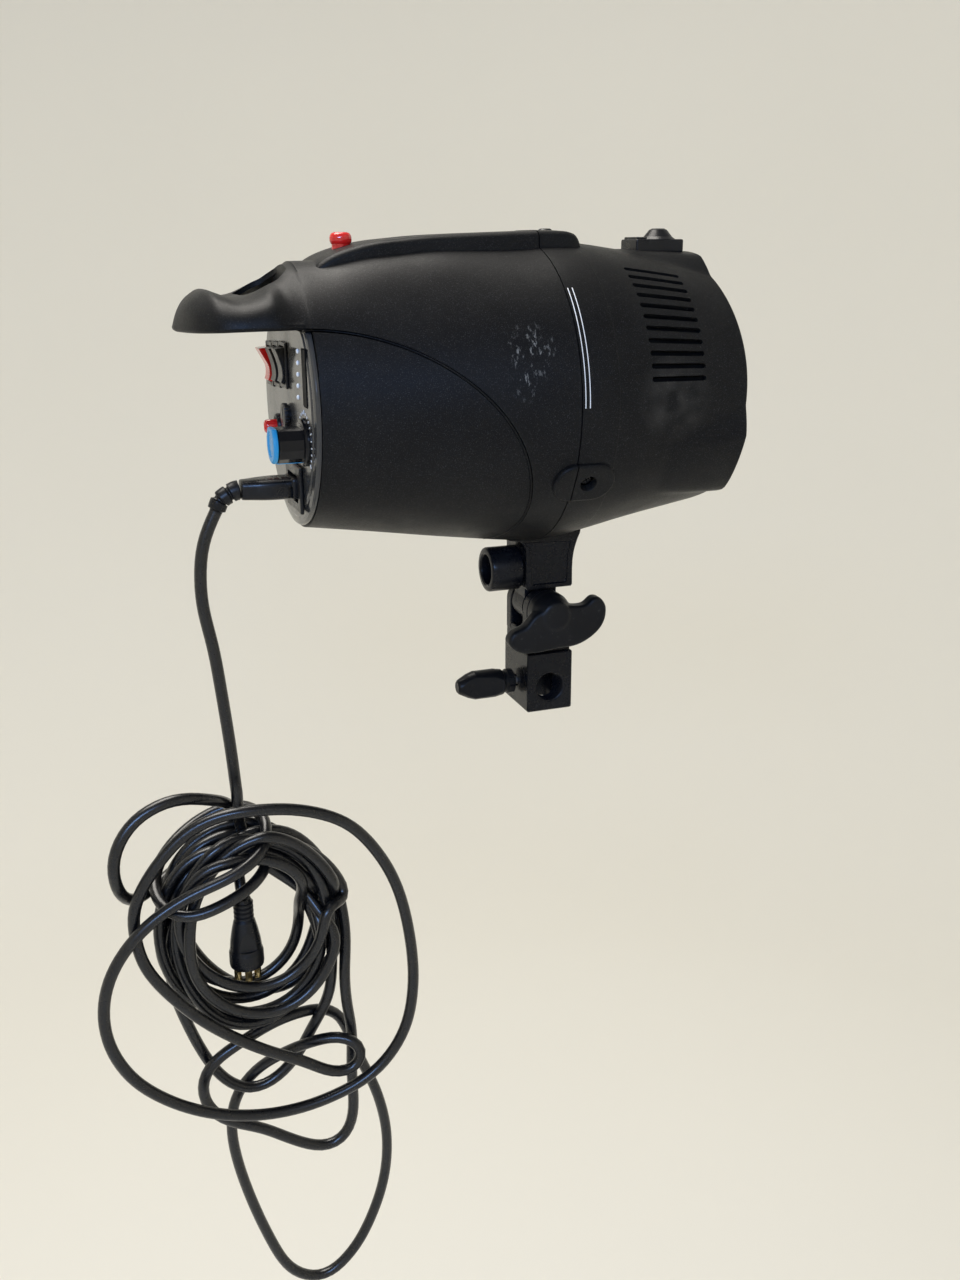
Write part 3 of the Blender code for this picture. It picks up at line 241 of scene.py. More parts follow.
def loft(name, rings):
    bm = bmesh.new()
    rows = [[bm.verts.new(p) for p in ring] for ring in rings]
    for near, far in zip(rows, rows[1:]):
        bridge(bm, near, far)
    for row, ring in ((rows[0], rings[0]), (rows[-1], rings[-1])):
        bridge(bm, row, [bm.verts.new(sum((Vector(p) for p in ring), Vector()) / len(ring))])
    return link(name, bm)


def turned(name, profile, centre, axis="X", sides=64):
    """(radius, height) points turned about an axis. A profile off the axis closes on itself."""
    bm = bmesh.new()
    rows = []
    for radius, height in profile:
        if radius < 1e-7:
            rows.append([bm.verts.new((0, 0, height))])
        else:
            rows.append([bm.verts.new((radius * cos(angle), radius * sin(angle), height))
                         for angle in around(sides)])
    pairs = list(zip(rows, rows[1:]))
    if profile[0][0] > 1e-7 and profile[-1][0] > 1e-7:
        pairs.append((rows[-1], rows[0]))
    for near, far in pairs:
        bridge(bm, near, far)
    obj = link(name, bm)
    obj.data.transform(Matrix.Translation(centre) @ facing(axis))
    return obj


def round_corner(radius, height, size, start):
    """Points of a quarter circle about (radius, height), for a turned profile's edge."""
    return [(radius + size * cos(radians(start - 90 * k / 4)),
             height + size * sin(radians(start - 90 * k / 4))) for k in range(5)]


def rod(name, radius, length, centre, axis="X", sides=48, edge=0.0):
    half = length / 2
    if edge:
        profile = [(0, half), *round_corner(radius - edge, half - edge, edge, 90),
                   *round_corner(radius - edge, -half + edge, edge, 0), (0, -half)]
    else:
        profile = [(0, half), (radius, half), (radius, -half), (0, -half)]
    return turned(name, profile, centre, axis, sides)


def box(name, size, centre, edge=0.0, segments=3):
    bm = bmesh.new()
    bmesh.ops.create_cube(bm, size=1)
    bmesh.ops.scale(bm, vec=size, verts=bm.verts)
    if edge:
        bmesh.ops.bevel(bm, geom=bm.edges, offset=edge, segments=segments, affect="EDGES", profile=0.5)
    bmesh.ops.translate(bm, vec=centre, verts=bm.verts)
    return link(name, bm)


def prism(name, outline, thickness, centre=ORIGIN, axis="Y", edge=0.0, segments=3):
    """An outline, in (x, z) across Y, (y, z) across X or (x, y) across Z, as a solid."""
    place = {"Y": lambda u, v, w: (u, w, v), "X": lambda u, v, w: (w, u, v), "Z": lambda u, v, w: (u, v, w)}
    bm = bmesh.new()
    near = [bm.verts.new(place[axis](u, v, -thickness / 2)) for u, v in outline]
    far = [bm.verts.new(place[axis](u, v, thickness / 2)) for u, v in outline]
    bm.faces.new(near)
    bm.faces.new(far[::-1])
    bridge(bm, near, far)
    bmesh.ops.recalc_face_normals(bm, faces=bm.faces)
    if edge:
        rims = [e for e in bm.edges if len(e.link_faces) == 2 and e.calc_face_angle() > 0.6]
        bmesh.ops.bevel(bm, geom=rims, offset=edge, segments=segments, affect="EDGES", profile=0.5)
    bmesh.ops.translate(bm, vec=centre, verts=bm.verts)
    return link(name, bm)


def curve_points(knots, per_span=8, closed=False):
    """Points on the Catmull-Rom curve through the knots, which may be of any dimension."""
    knots = [Vector(k) for k in knots]
    if closed:
        knots = [knots[-1], *knots, knots[0], knots[1]]
    else:
        knots = [2 * knots[0] - knots[1], *knots, 2 * knots[-1] - knots[-2]]
    fine = []
    for a, b, c, d in zip(knots, knots[1:], knots[2:], knots[3:]):
        for step in range(per_span):
            t = step / per_span
            fine.append(0.5 * (2 * b + (c - a) * t + (2 * a - 5 * b + 4 * c - d) * t * t
                               + (3 * b - a - 3 * c + d) * t ** 3))
    if not closed:
        fine.append(knots[-2])
    return fine


def tube(name, points, radius, sides=14, radii=None):
    """A round tube along points, without twist. radii gives a radius at each point."""
    points = [Vector(p) for p in points]
    bm = bmesh.new()
    side, rows = None, []
    for k, point in enumerate(points):
        along = (points[min(k + 1, len(points) - 1)] - points[max(k - 1, 0)]).normalized()
        if side is None:
            side = along.orthogonal().normalized()
        side = (side - along * side.dot(along)).normalized()
        up = along.cross(side)
        r = radii[k] if radii else radius
        rows.append([bm.verts.new(point + (side * cos(angle) + up * sin(angle)) * r)
                     for angle in around(sides)])
    for near, far in zip(rows, rows[1:]):
        bridge(bm, near, far)
    bm.faces.new(rows[0])
    bm.faces.new(rows[-1][::-1])
    return link(name, bm)


# ---------------------------------------------------------------- materials

class Shader:
    """A Principled material with procedural grain, built in the object's own metres."""

    def __init__(self, name):
        self.material = bpy.data.materials.new(name)
        self.material.use_nodes = True
        self.tree = self.material.node_tree
        self.bsdf = self.tree.nodes["Principled BSDF"]
        self.where = self.add("ShaderNodeTexCoord").outputs["Object"]

    def add(self, kind, **values):
        node = self.tree.nodes.new(kind)
        for key, value in values.items():
            setattr(node, key, value)
        return node

    def link(self, a, b):
        self.tree.links.new(a, b)

    def noise(self, scale, detail=3.0, roughness=0.55, stretch=None):
        node = self.add("ShaderNodeTexNoise")
        node.inputs["Scale"].default_value = scale
        node.inputs["Detail"].default_value = detail
        node.inputs["Roughness"].default_value = roughness
        where = self.where
        if stretch:
            mapping = self.add("ShaderNodeMapping")
            mapping.inputs["Scale"].default_value = stretch
            self.link(where, mapping.inputs["Vector"])
            where = mapping.outputs["Vector"]
        self.link(where, node.inputs["Vector"])
        return node.outputs["Fac"]

    def spread(self, value, low, high, to_low, to_high):
        node = self.add("ShaderNodeMapRange")
        for key, number in (("From Min", low), ("From Max", high), ("To Min", to_low), ("To Max", to_high)):
            node.inputs[key].default_value = number
        self.link(value, node.inputs["Value"])
        return node.outputs["Result"]

    def maths(self, operation, a, b=None):
        node = self.add("ShaderNodeMath", operation=operation)
        for socket, value in zip(node.inputs, (a, b)):
            if value is None:
                continue
            if isinstance(value, (int, float)):
                socket.default_value = value
            else:
                self.link(value, socket)
        return node.outputs[0]

    def mix(self, share, a, b):
        node = self.add("ShaderNodeMix", data_type="RGBA")
        self.link(share, node.inputs["Factor"])
        for socket, value in ((node.inputs[6], a), (node.inputs[7], b)):
            if isinstance(value, tuple):
                socket.default_value = (*value[:3], 1)
            else:
                self.link(value, socket)
        return node.outputs[2]

    def near(self, point, radius, edge=0.5):
        """1 close to the point, falling to 0 at the radius."""
        node = self.add("ShaderNodeVectorMath", operation="DISTANCE")
        self.link(self.where, node.inputs[0])
        node.inputs[1].default_value = point
        return self.spread(node.outputs["Value"], radius * edge, radius, 1.0, 0.0)

    def bump(self, *layers):
        """Layers of (height, strength, depth in metres), one on the other."""
        normal = None
        for height, strength, depth in layers:
            node = self.add("ShaderNodeBump")
            node.inputs["Strength"].default_value = strength
            node.inputs["Distance"].default_value = depth
            self.link(height, node.inputs["Height"])
            if normal:
                self.link(normal, node.inputs["Normal"])
            normal = node.outputs["Normal"]
        self.link(normal, self.bsdf.inputs["Normal"])

    def colour(self, tint):
        self.link(tint, self.bsdf.inputs["Base Color"])

    def rough(self, value):
        self.link(value, self.bsdf.inputs["Roughness"])

    def done(self, **sockets):
        for key, value in sockets.items():
            self.bsdf.inputs[key.replace("_", " ")].default_value = value
        return self.material


def surface(name, colour, rough, metal=0.0, grain=1500, depth=0.00003, mottle=0.15, patches=35,
            dust=0.0, stretch=None, **sockets):
    """The common finish: colour and gloss that vary a little, fine grain, and thin dust."""
    s = Shader(name)
    broad = s.noise(patches, 4.0)
    fine = s.noise(grain, 2.0, 0.5, stretch)
    dark = tuple(c * (1 - mottle) for c in colour)
    light = tuple(min(1.0, c * (1 + mottle) + 0.002) for c in colour)
    tint = s.mix(s.spread(broad, 0.35, 0.65, 0, 1), dark, light)
    if dust:
        specks = s.noise(420, 3.0, 0.7)
        share = s.maths("MULTIPLY", s.spread(specks, 0.6, 0.74, 0, dust), s.spread(broad, 0.4, 0.7, 0.2, 1))
        tint = s.mix(share, tint, (0.42, 0.41, 0.38))
    s.colour(tint)
    gloss = s.maths("ADD", s.spread(s.noise(patches * 2.3, 3.0), 0.3, 0.7, -0.1, 0.1),
                    s.spread(fine, 0.3, 0.7, rough - 0.03, rough + 0.03))
    s.rough(gloss)
    s.bump((fine, 0.7, depth))
    return s.done(Metallic=metal, **sockets)


# ---------------------------------------------------------------- casing shapes

def smooth_step(value):
    value = min(1.0, max(0.0, value))
    return value * value * (3 - 2 * value)


def barrel_radius(x):
    """Barrel radius at x, on a smooth curve through the stations."""
    if x <= STATIONS[0][0]:
        return STATIONS[0][1]
    for k in range(len(STATIONS) - 1):
        (x0, r0), (x1, r1) = STATIONS[k], STATIONS[k + 1]
        if x <= x1:
            before, after = STATIONS[max(k - 1, 0)], STATIONS[min(k + 2, len(STATIONS) - 1)]
            t = (x - x0) / (x1 - x0)
            slope0 = (r1 - before[1]) / (x1 - before[0]) * (x1 - x0)
            slope1 = (after[1] - r0) / (after[0] - x0) * (x1 - x0)
            return ((2 * t ** 3 - 3 * t ** 2 + 1) * r0 + (t ** 3 - 2 * t ** 2 + t) * slope0
                    + (3 * t ** 2 - 2 * t ** 3) * r1 + (t ** 3 - t ** 2) * slope1)
    return STATIONS[-1][1]


def barrel_ring(x, inset=0.0):
    radius = barrel_radius(x) - inset
    rise = TOP_RISE * max(0.0, (SEAM_X - x) / (SEAM_X - REAR_X)) ** 2
    points = []
    for angle in around(SIDES):
        tall = radius + rise * min(1.0, max(0.0, sin(angle)) * 6)
        y, z = radius * cos(angle), tall * sin(angle)
        points.append((x, y, AXIS_Z + z + (shoulder(x, y) if z > 0 else 0)))
    return points


def shoulder(x, y):
    """How far the casing swells up beside the spine, in a soft fairing."""
    along = smooth_step((x + 0.133) / 0.043) * smooth_step((SEAM_X - x) / 0.062)
    return SHOULDER * along * smooth_step(abs(y) / 0.022) * smooth_step((0.058 - abs(y)) / 0.031)


def signed_power(value, power):
    return copysign(abs(value) ** power, value)


def hood_ring(x, half, top, power, inset=0.0):
    """An arched section of the hood, on a flat base that the split cuts away."""
    half, top = half - inset, top - inset
    points = []
    for angle in around(SIDES):
        across, up = cos(angle), sin(angle)
        y = half * signed_power(across, 2 / power)
        z = (top - HOOD_BASE) * abs(up) ** (2 / power) if up >= 0 else 0.004 * up
        points.append((x, y, AXIS_Z + HOOD_BASE + z))
    return points


def hood_sections(inset=0.0):
    """The hood's sections, tip first, which melt into the barrel's round section near REAR_X."""
    rings = []
    for x, half, top, power in curve_points(HOOD[::-1], 4):
        share = smooth_step((REAR_X - x) / 0.017)
        ring = []
        for angle, point in zip(around(SIDES), hood_ring(x, half, top, power, inset)):
            wide, tall = STATIONS[0][1] - inset, (top if sin(angle) > 0 else STATIONS[0][1]) - inset
            y, z = wide * cos(angle), tall * sin(angle)
            round_point = Vector((x, y, AXIS_Z + z + (shoulder(x, y) if z > 0 else 0)))
            ring.append(round_point.lerp(Vector(point), share))
        rings.append(ring)
    return rings


def hood_edge(x):
    """Height of the hood's lower edge over the axis: it falls slightly towards the tip."""
    return HOOD_EDGE - HOOD_DROP * max(0.0, (GROOVE_X - x) / (GROOVE_X - HOOD[-1][0])) ** 3


def hood_lip():
    """The rounded bead along the hood's lower edge, from one side round the tip to the other."""
    side = []
    for ring in hood_sections():
        height = AXIS_Z + hood_edge(ring[0][0]) + LIP_R
        if ring[0][0] > GROOVE_X + 0.0005:
            continue
        for a, b in zip(ring, ring[1:SIDES // 4]):
            if a[2] <= height < b[2]:
                share = (height - a[2]) / (b[2] - a[2])
                side.append(Vector((a[0], a[1] + (b[1] - a[1]) * share, height)))
                break
    edge = even([*reversed(side), *[Vector((p.x, -p.y, p.z)) for p in side]], 0.0018)
    path = []
    for before, point, after in zip([edge[0], *edge], edge, [*edge[1:], edge[-1]]):
        along = (after - before).normalized()
        path.append(point + Vector((-along.y, along.x, 0)) * LIP_R)
    return tube("hood_lip", path, LIP_R, 14)


def groove_bead(side):
    """The tongue that shows at the bottom of the groove between the two rear shells."""
    path = []
    for x, z in groove_line(0.0):
        if abs(z - AXIS_Z) < barrel_radius(x) * 0.975:
            path.append((x, z))
    beads = []
    for depth, thick in ((0.0018, GROOVE_WIDE * 0.7), (0.0001, 0.00042)):
        line = [Vector((x, side * sqrt((barrel_radius(x) - depth) ** 2 - (z - AXIS_Z) ** 2), z))
                for x, z in path]
        beads.append(tube("groove_bead", even(line, 0.002), thick, 10))
    return fuse(*beads)


def rear_sections(inset=0.0, hood=True, start=REAR_X, end=SEAM_X):
    rings = hood_sections(inset) if hood else []
    steps = 46
    rings += [barrel_ring(start + (end - start) * k / steps, inset) for k in range(steps + 1)]
    rings.append(barrel_ring(end + 0.004, inset))
    return rings


def lobe_height(x, degrees):
    """The rim's lobes: flat facets that rise towards the rim, with a crisp ramp each side."""
    along = max(0.0, (x - LOBE_START) / (RIM_X - LOBE_START))
    away = min(abs((degrees - lobe + 180) % 360 - 180) for lobe in LOBES)
    inner, outer = 11 + 3 * along, 11.5 + 14 * along
    ramp = min(1.0, max(0.0, (outer - away) / (outer - inner)))
    return LOBE_RISE * along ** 0.9 * ramp


def front_ring(x, inset=0.0):
    points = []
    along = max(0.0, (x - LOBE_START) / (RIM_X - LOBE_START))
    for k in range(SIDES):
        degrees = 360 * k / SIDES
        angle = radians(degrees)
        lean = to_degrees(asin(sin(angle)))
        belly = BELLY_LIFT * smooth_step((x - SEAM_X) / 0.06) ** 0.5 * smooth_step((-34 - lean) / 36)
        radius = barrel_radius(x) + lobe_height(x, degrees) - belly - inset
        radius -= 0.00022 * smooth_step((x - STEP_X) / 0.0006)
        forward = RIM_BULGE * along ** 2 * smooth_step(1 - abs(lean - 12) / 55)
        points.append((x + forward, radius * cos(angle), AXIS_Z + radius * sin(angle)))
    return points


def front_sections(start, inset=0.0, end=RIM_X, rounded=0.0):
    steps = 40
    places = [start + (end - rounded - start) * k / steps for k in range(steps + 1)]
    places += [x for x in (STEP_X, STEP_X + 0.0003, STEP_X + 0.0006) if start < x < end]
    rings = [front_ring(x, inset) for x in sorted(places)]
    for k in range(1, 6):
        if rounded:
            turn = pi / 2 * k / 5
            rings.append(front_ring(end - rounded * (1 - sin(turn)),
                                    inset + rounded * (1 - cos(turn))))
    return rings


def groove_line(shift):
    """The groove in side view, from the hood's edge to under the belly, moved out by shift."""
    points = []
    for k in range(49):
        angle = pi / 2 * (1 - k / 48)
        points.append((GROOVE_X + (GROOVE_LONG + shift) * cos(angle),
                       AXIS_Z + GROOVE_Z + (GROOVE_TALL + shift) * sin(angle)))
    turn = GROOVE_TURN + shift
    centre = GROOVE_X + GROOVE_LONG - GROOVE_TURN
    for k in range(1, 21):
        angle = -pi / 2 * k / 20
        points.append((centre + turn * cos(angle), AXIS_Z + GROOVE_Z + turn * sin(angle)))
    return points


def below_cutter():
    """Everything below the upper shell: the hood's edge, the groove and the belly behind it."""
    line = groove_line(GROOVE_WIDE / 2)
    edge = [(x, AXIS_Z + hood_edge(x) + LIP_R) for x in (-0.19, -0.182, -0.176, -0.168, -0.158, GROOVE_X)]
    outline = [*edge, *line, (line[-1][0], AXIS_Z - 0.1), (-0.19, AXIS_Z - 0.1)]
    return prism("below_groove", outline, 0.22)


def above_cutter():
    """Everything outside the lower shell."""
    line = groove_line(-GROOVE_WIDE / 2)
    outline = [(-0.21, AXIS_Z + HOOD_EDGE - GROOVE_WIDE), *line, (line[-1][0], AXIS_Z - 0.12),
               (0.02, AXIS_Z - 0.12), (0.02, AXIS_Z + 0.12), (-0.21, AXIS_Z + 0.12)]
    return prism("above_groove", outline, 0.22)


def seam_cutter(side):
    """Everything beyond the seam, towards the nose if side is 1 and towards the back if -1."""
    face = SEAM_X if side > 0 else SEAM_X + 0.0006
    return box("beyond_seam", (0.05, 0.2, 0.2), (face + side * 0.025, 0, AXIS_Z))


def spine_pad(name, sections):
    """The raised pad on top, with rounded shoulders: sections of (x, top, half width)."""
    rings = []
    for x, top, half in curve_points(sections, 5):
        round_x, round_z = 0.004, 0.0034
        shoulder = [(half - round_x * (1 - cos(t)), top - 0.0004 - round_z * (1 - sin(t)))
                    for t in (pi / 2 * k / 6 for k in range(7))]
        outline = [(half, 0.056), *shoulder, (half * 0.4, top), (-half * 0.4, top),
                   *[(-y, z) for y, z in reversed(shoulder)], (-half, 0.056)]
        rings.append([(x, y, AXIS_Z + z) for y, z in outline])
    return loft(name, rings)


def on_side(obj, x, radius, side, degrees):
    """Turns a piece built on +Z so that it stands on the barrel's side, x kept along the barrel."""
    angle = radians(degrees)
    normal = Vector((0, side * cos(angle), sin(angle)))
    across = normal.cross(Vector((1, 0, 0)))
    turn = Matrix((Vector((1, 0, 0)), across, normal)).transposed().to_4x4()
    obj.data.transform(Matrix.Translation(Vector((x, 0, AXIS_Z)) + normal * radius) @ turn)
    return obj


def stadium(length, width, steps=14):
    """An outline with round ends, length along the first axis."""
    r, half = width / 2, length / 2 - width / 2
    return [(half * s + r * cos(a), r * sin(a))
            for s, start in ((1, -pi / 2), (-1, pi / 2))
            for a in (start + pi * k / steps for k in range(steps + 1))]


def boss_pad(side):
    """The oval pad round a side screw, whole; each shell keeps its own part of it."""
    pad = prism("boss_pad", stadium(0.0315, 0.0208), 0.009, ORIGIN, "Z", 0.0014, 4)
    return on_side(pad, BOSS_X - 0.0013, 0.0715, side, BOSS_ANGLE)


def bracket_clearance():
    return box("belly_opening", (0.0446, 0.029, 0.03), (-0.0045, 0, AXIS_Z - 0.0755))


def make_rear_upper_shell():
    shell = loft("rear_upper_casing", rear_sections())
    spine = spine_pad("spine", SPINE)
    fuse(shell, spine, boss_pad(-1), boss_pad(1))
    inner = hood_sections(WALL)
    pocket = loft("hood_pocket", [ring for ring in inner if REAR_X - 0.003 > ring[0][0] > -0.179])
    body = loft("rear_cavity", rear_sections(WALL, False, REAR_X + 0.0005, SEAM_X + 0.009))
    back, fore, half = FINGER_HOLE
    hole = prism("finger_hole", stadium(2 * half, fore - back), 0.06, ORIGIN, "Z")
    stand(hole, ((fore + back) / 2, 0, AXIS_Z + 0.068), pi / 2, "Z")
    eye = rod("sensor_hole", 0.0046, 0.02, (SLAVE_X, 0, AXIS_Z + 0.073), "Z")
    carve(shell, below_cutter(), pocket, body, hole, eye, bracket_clearance(), seam_cutter(1))
    return fuse(shell, hood_lip(), groove_bead(-1), groove_bead(1))


def make_rear_lower_shell():
    shell = loft("rear_lower_casing", rear_sections(0.0, False))
    cavity = loft("lower_cavity", rear_sections(WALL, False, REAR_X - 0.001, SEAM_X + 0.009))
    return carve(shell, above_cutter(), cavity)


def vent_cutters():
    """All the slots of both sides, with round ends, as one cutter."""
    start, end = VENT_X
    slots = []
    for side in (-1, 1):
        for k in range(VENTS):
            slot = prism("vent", stadium(end - start, VENT_WIDE, 6), 0.02, ORIGIN, "Z")
            slots.append(on_side(slot, (start + end) / 2, 0.069, side, VENT_TOP - VENT_STEP * k))
    return merge("vent_slots", slots)


def merge(name, objects):
    """Several meshes as one object."""
    bm = bmesh.new()
    for obj in objects:
        bm.from_mesh(obj.data)
        bpy.data.objects.remove(obj)
    return link(name, bm)


def make_front_shell():
    start = SEAM_X - 0.004
    shell = loft("front_casing", front_sections(start, rounded=0.0012))
    nose = spine_pad("spine_nose", ((start - 0.002, SPINE_TOP, SPINE_HALF), *SPINE_NOSE))
    fuse(shell, nose, boss_pad(-1), boss_pad(1))
    cavity = loft("front_cavity", front_sections(start - 0.005, WALL, FLANGE_X))
    mouth = loft("front_mouth", front_sections(FLANGE_X + 0.0022, WALL, RIM_X + 0.002))
    flange_way = rod("flange_way", 0.0545, 0.02, (FLANGE_X, 0, AXIS_Z), "X", 96)
    latch_way = box("latch_way", (0.03, 0.032, 0.016), (FLANGE_X, 0, AXIS_Z + 0.055))
    slot = box("slider_slot", (0.022, 0.0062, 0.02), (0.0625, 0, AXIS_Z + 0.068))
    carve(shell, cavity, mouth, flange_way, latch_way, vent_cutters(), slot, bracket_clearance(),
          seam_cutter(-1))
    for side in (-1, 1):
        well = turned("screw_well", [(0, 0.02), (0.0044, 0.02), (0.0044, 0.001), (0.0036, -0.0002),
                                     (0.0034, -0.02), (0, -0.02)], ORIGIN, "Z", 40)
        carve(shell, on_side(well, SCREW_X, 0.0752, side, BOSS_ANGLE))
    return carve(shell, rod("cap_hole", 0.0038, 0.02, (CAP_X, 0, AXIS_Z + 0.0805), "Z"))


def soft_edges(obj, width):
    """Rounds the sharp edges that the cuts left, then shades the whole as a moulding."""
    bm = bmesh.new()
    bm.from_mesh(obj.data)
    bmesh.ops.remove_doubles(bm, verts=bm.verts, dist=0.00002)
    bmesh.ops.dissolve_degenerate(bm, edges=bm.edges, dist=0.00001)
    bm.to_mesh(obj.data)
    bm.free()
    smooth(bevel(obj, width, 2, 42), 40)
    obj.modifiers.new("shade", "WEIGHTED_NORMAL").keep_sharp = True
    return settle(obj)


# ---------------------------------------------------------------- rear panel and its controls

FACE = PANEL_X - 0.0003                       # where the controls stand on the panel
POWER_KEY, LAMP_KEY, SOUND_KEY = (0.033, 0.017), (0.0165, 0.018), (0.0005, 0.019)
KEY_WIDE, KEY_TALL, KEY_AXIS = 0.013, 0.0195, 0.0012
WINDOW = (-0.042, 0.0165, 0.0085, 0.026)
KNOB_AT, TEST_AT = (-0.037, -0.0125), (0.022, -0.0125)
FUSE_AT, INLET_AT = (-0.003, -0.0045), (-0.014, -0.0365)
INLET_WIDE, INLET_TALL = 0.028, 0.0195
INLET_PINS = ((-0.007, -0.0015), (0, 0.002), (0.007, -0.0015))


def on_panel(spot):
    """The place across and up, in the model's frame, of a spot given from the panel's middle."""
    return spot[0], AXIS_Z + spot[1]


def panel_ring(x, radius):
    """A circle with a flat top, whose corners are rounded."""
    outline = []
    for angle in around(SIDES):
        y, z = radius * cos(angle), radius * sin(angle)
        over = max(0.0, z - PANEL_TOP + 0.003)
        outline.append((x, y, AXIS_Z + min(z, PANEL_TOP - 0.003 + 0.003 * tanh(over / 0.003))))
    return outline


def panel_box(at, wide, tall):
    return box("opening", (0.02, wide, tall), (PANEL_X, *on_panel(at)))


def make_panel():
    """The moulded panel: a flat face, a step, and a bevelled bright rim."""
    rings = [(0.0, PANEL_FACE - 0.0022), (0.0, PANEL_FACE - 0.0006), (0.00012, PANEL_FACE),
            (0.0004, PANEL_FACE + 0.0004), (0.0006, PANEL_FACE + 0.0007), (0.0007, PANEL_FACE + 0.0024),
            (0.0011, PANEL_FACE + 0.0042), (0.0018, PANEL_RIM - 0.0002), (0.0022, PANEL_RIM),
            (0.0032, PANEL_RIM)]
    panel = loft("control_panel", [panel_ring(PANEL_X + x, r) for x, r in rings])
    for key in (POWER_KEY, LAMP_KEY, SOUND_KEY):
        cut(panel, panel_box(key, KEY_WIDE - 0.0008, KEY_TALL - 0.0008))
    cut(panel, panel_box(WINDOW[:2], WINDOW[2], WINDOW[3]),
        panel_box(INLET_AT, INLET_WIDE - 0.0022, INLET_TALL - 0.0022))
    for at, radius in ((KNOB_AT, 0.0035), (TEST_AT, 0.0038), (FUSE_AT, 0.0052)):
        cut(panel, rod("hole", radius, 0.02, (PANEL_X, *on_panel(at))))
    return bevel(panel, 0.0002, 2, 50)


def make_rocker_frame(name, at):
    """A raised frame with a sloped, rounded rim round the key."""
    y, z = on_panel(at)
    frame = box(name, (0.0013, KEY_WIDE + 0.002, KEY_TALL + 0.002), (FACE - 0.00045, y, z), 0.0005, 4)
    cut(frame, box("key_way", (0.02, KEY_WIDE - 0.0018, KEY_TALL - 0.0018), (FACE, y, z), 0.0003))
    return bevel(frame, 0.00018, 2, 40)


def make_rocker_key(name, at, proud):
    """The key's side view: a proud end, a hollow face and a low end, then rounded all over."""
    half = KEY_TALL / 2 - 0.0014
    hollow = curve_points([(-proud, half - 0.0006), (-proud * 0.62, half * 0.45), (-0.0012, -half * 0.12),
            (-0.001, -half * 0.6), (-0.0018, -half + 0.0006)], 6)
    outline = [(0.01, -half + 0.002), (0.01, half - 0.002), (0.0, half), *hollow, (0.0, -half)]
    key = prism(name, outline, KEY_WIDE - 0.0026, (FACE - KEY_AXIS, *on_panel(at)), "Y")
    return bevel(key, 0.00035, 3, 25)


def make_power_knob():
    """A twelve-sided dial with a skirt, a flat top, a blue pointer strip and a bore for its shaft."""
    y, z = on_panel(KNOB_AT)
    skirt = turned("power_dial_grip", [(0, 0.0), (0.0109, 0.0), (0.0109, -0.001), (0.0104, -0.0017),
                                       (0.0098, -0.0019), (0, -0.0019)], (FACE, y, z), "X", 96)
    angles = [2 * pi * (k + 0.5) / 12 for k in range(12)]
    outline = [(y + 0.0089 * cos(angle), z + 0.0089 * sin(angle)) for angle in angles]
    grip = prism("grip", outline, 0.0128, (FACE - 0.007, 0, 0), "X", 0.0007, 3)
    cut(grip, box("flat", (0.0114, 0.03, 0.01), (FACE - 0.0079, y, z + 0.012), 0.0004))
    join(skirt, grip)
    cut(skirt, rod("shaft_way", 0.0031, 0.008, (FACE, y, z)))
    pointer = box("pointer_strip", (0.012, 0.004, 0.001), (FACE - 0.0078, y, z - 0.0085), 0.0003, 2)
    return bevel(skirt, 0.00022, 2, 40), pointer


def make_knob_cap():
    y, z = on_panel(KNOB_AT)
    x = FACE - 0.0136
    cap = turned("power_dial_cap", [(0, 0.0), (0.0086, 0.0), (0.0089, -0.0003), (0.0089, -0.0013),
                                    (0.0086, -0.0019), (0.008, -0.0022), (0.0062, -0.0022),
                                    (0.0056, -0.0017), (0, -0.0016)], (x, y, z), "X", 96)
    return bevel(cut(cap, box("flat", (0.01, 0.03, 0.01), (x - 0.001, y, z + 0.0122))), 0.0002, 2, 40)


def make_dial_scale():
    """Plain ticks round the dial, longer at the ends, printed in white."""
    ticks = []
    for k in range(21):
        angle = radians(225 - 270 * k / 20)
        long = 0.0019 if k % 5 == 0 else 0.0011
        tick = box("tick", (0.0003, 0.00045, long), (0, 0, 0.0127 + long / 2))
        ticks.append(stand(tick, (PANEL_X - 0.0001, *on_panel(KNOB_AT)), angle - pi / 2, "X"))
    return merge("dial_scale", ticks)


def panel_dot(name, y, z):
    """A small round mark or lamp that stands 0.1 mm proud of the panel."""
    return turned(name, [(0, 0.0002), (0.0011, 0.0002), (0.0011, -0.0003), (0.0011 * 0.7, -0.0007),
                         (0, -0.0009)], (PANEL_X, y, AXIS_Z + z), "X", 28)


def make_fuse_cap():
    y, z = on_panel(FUSE_AT)
    outline = []
    for angle in around(160):
        radius = 0.006 - 0.0003 * (0.5 + 0.5 * cos(20 * angle)) ** 2
        outline.append((y + radius * cos(angle), z + radius * sin(angle)))
    cap = prism("fuse_carrier_cap", outline, 0.0024, (FACE - 0.0016, 0, 0), "X", 0.0003, 2)
    join(cap, rod("stem", 0.0036, 0.01, (FACE + 0.003, y, z)))
    cut(cap, box("coin_slot", (0.0022, 0.0014, 0.009), (FACE - 0.003, y, z), 0.0002))
    return smooth(cap)


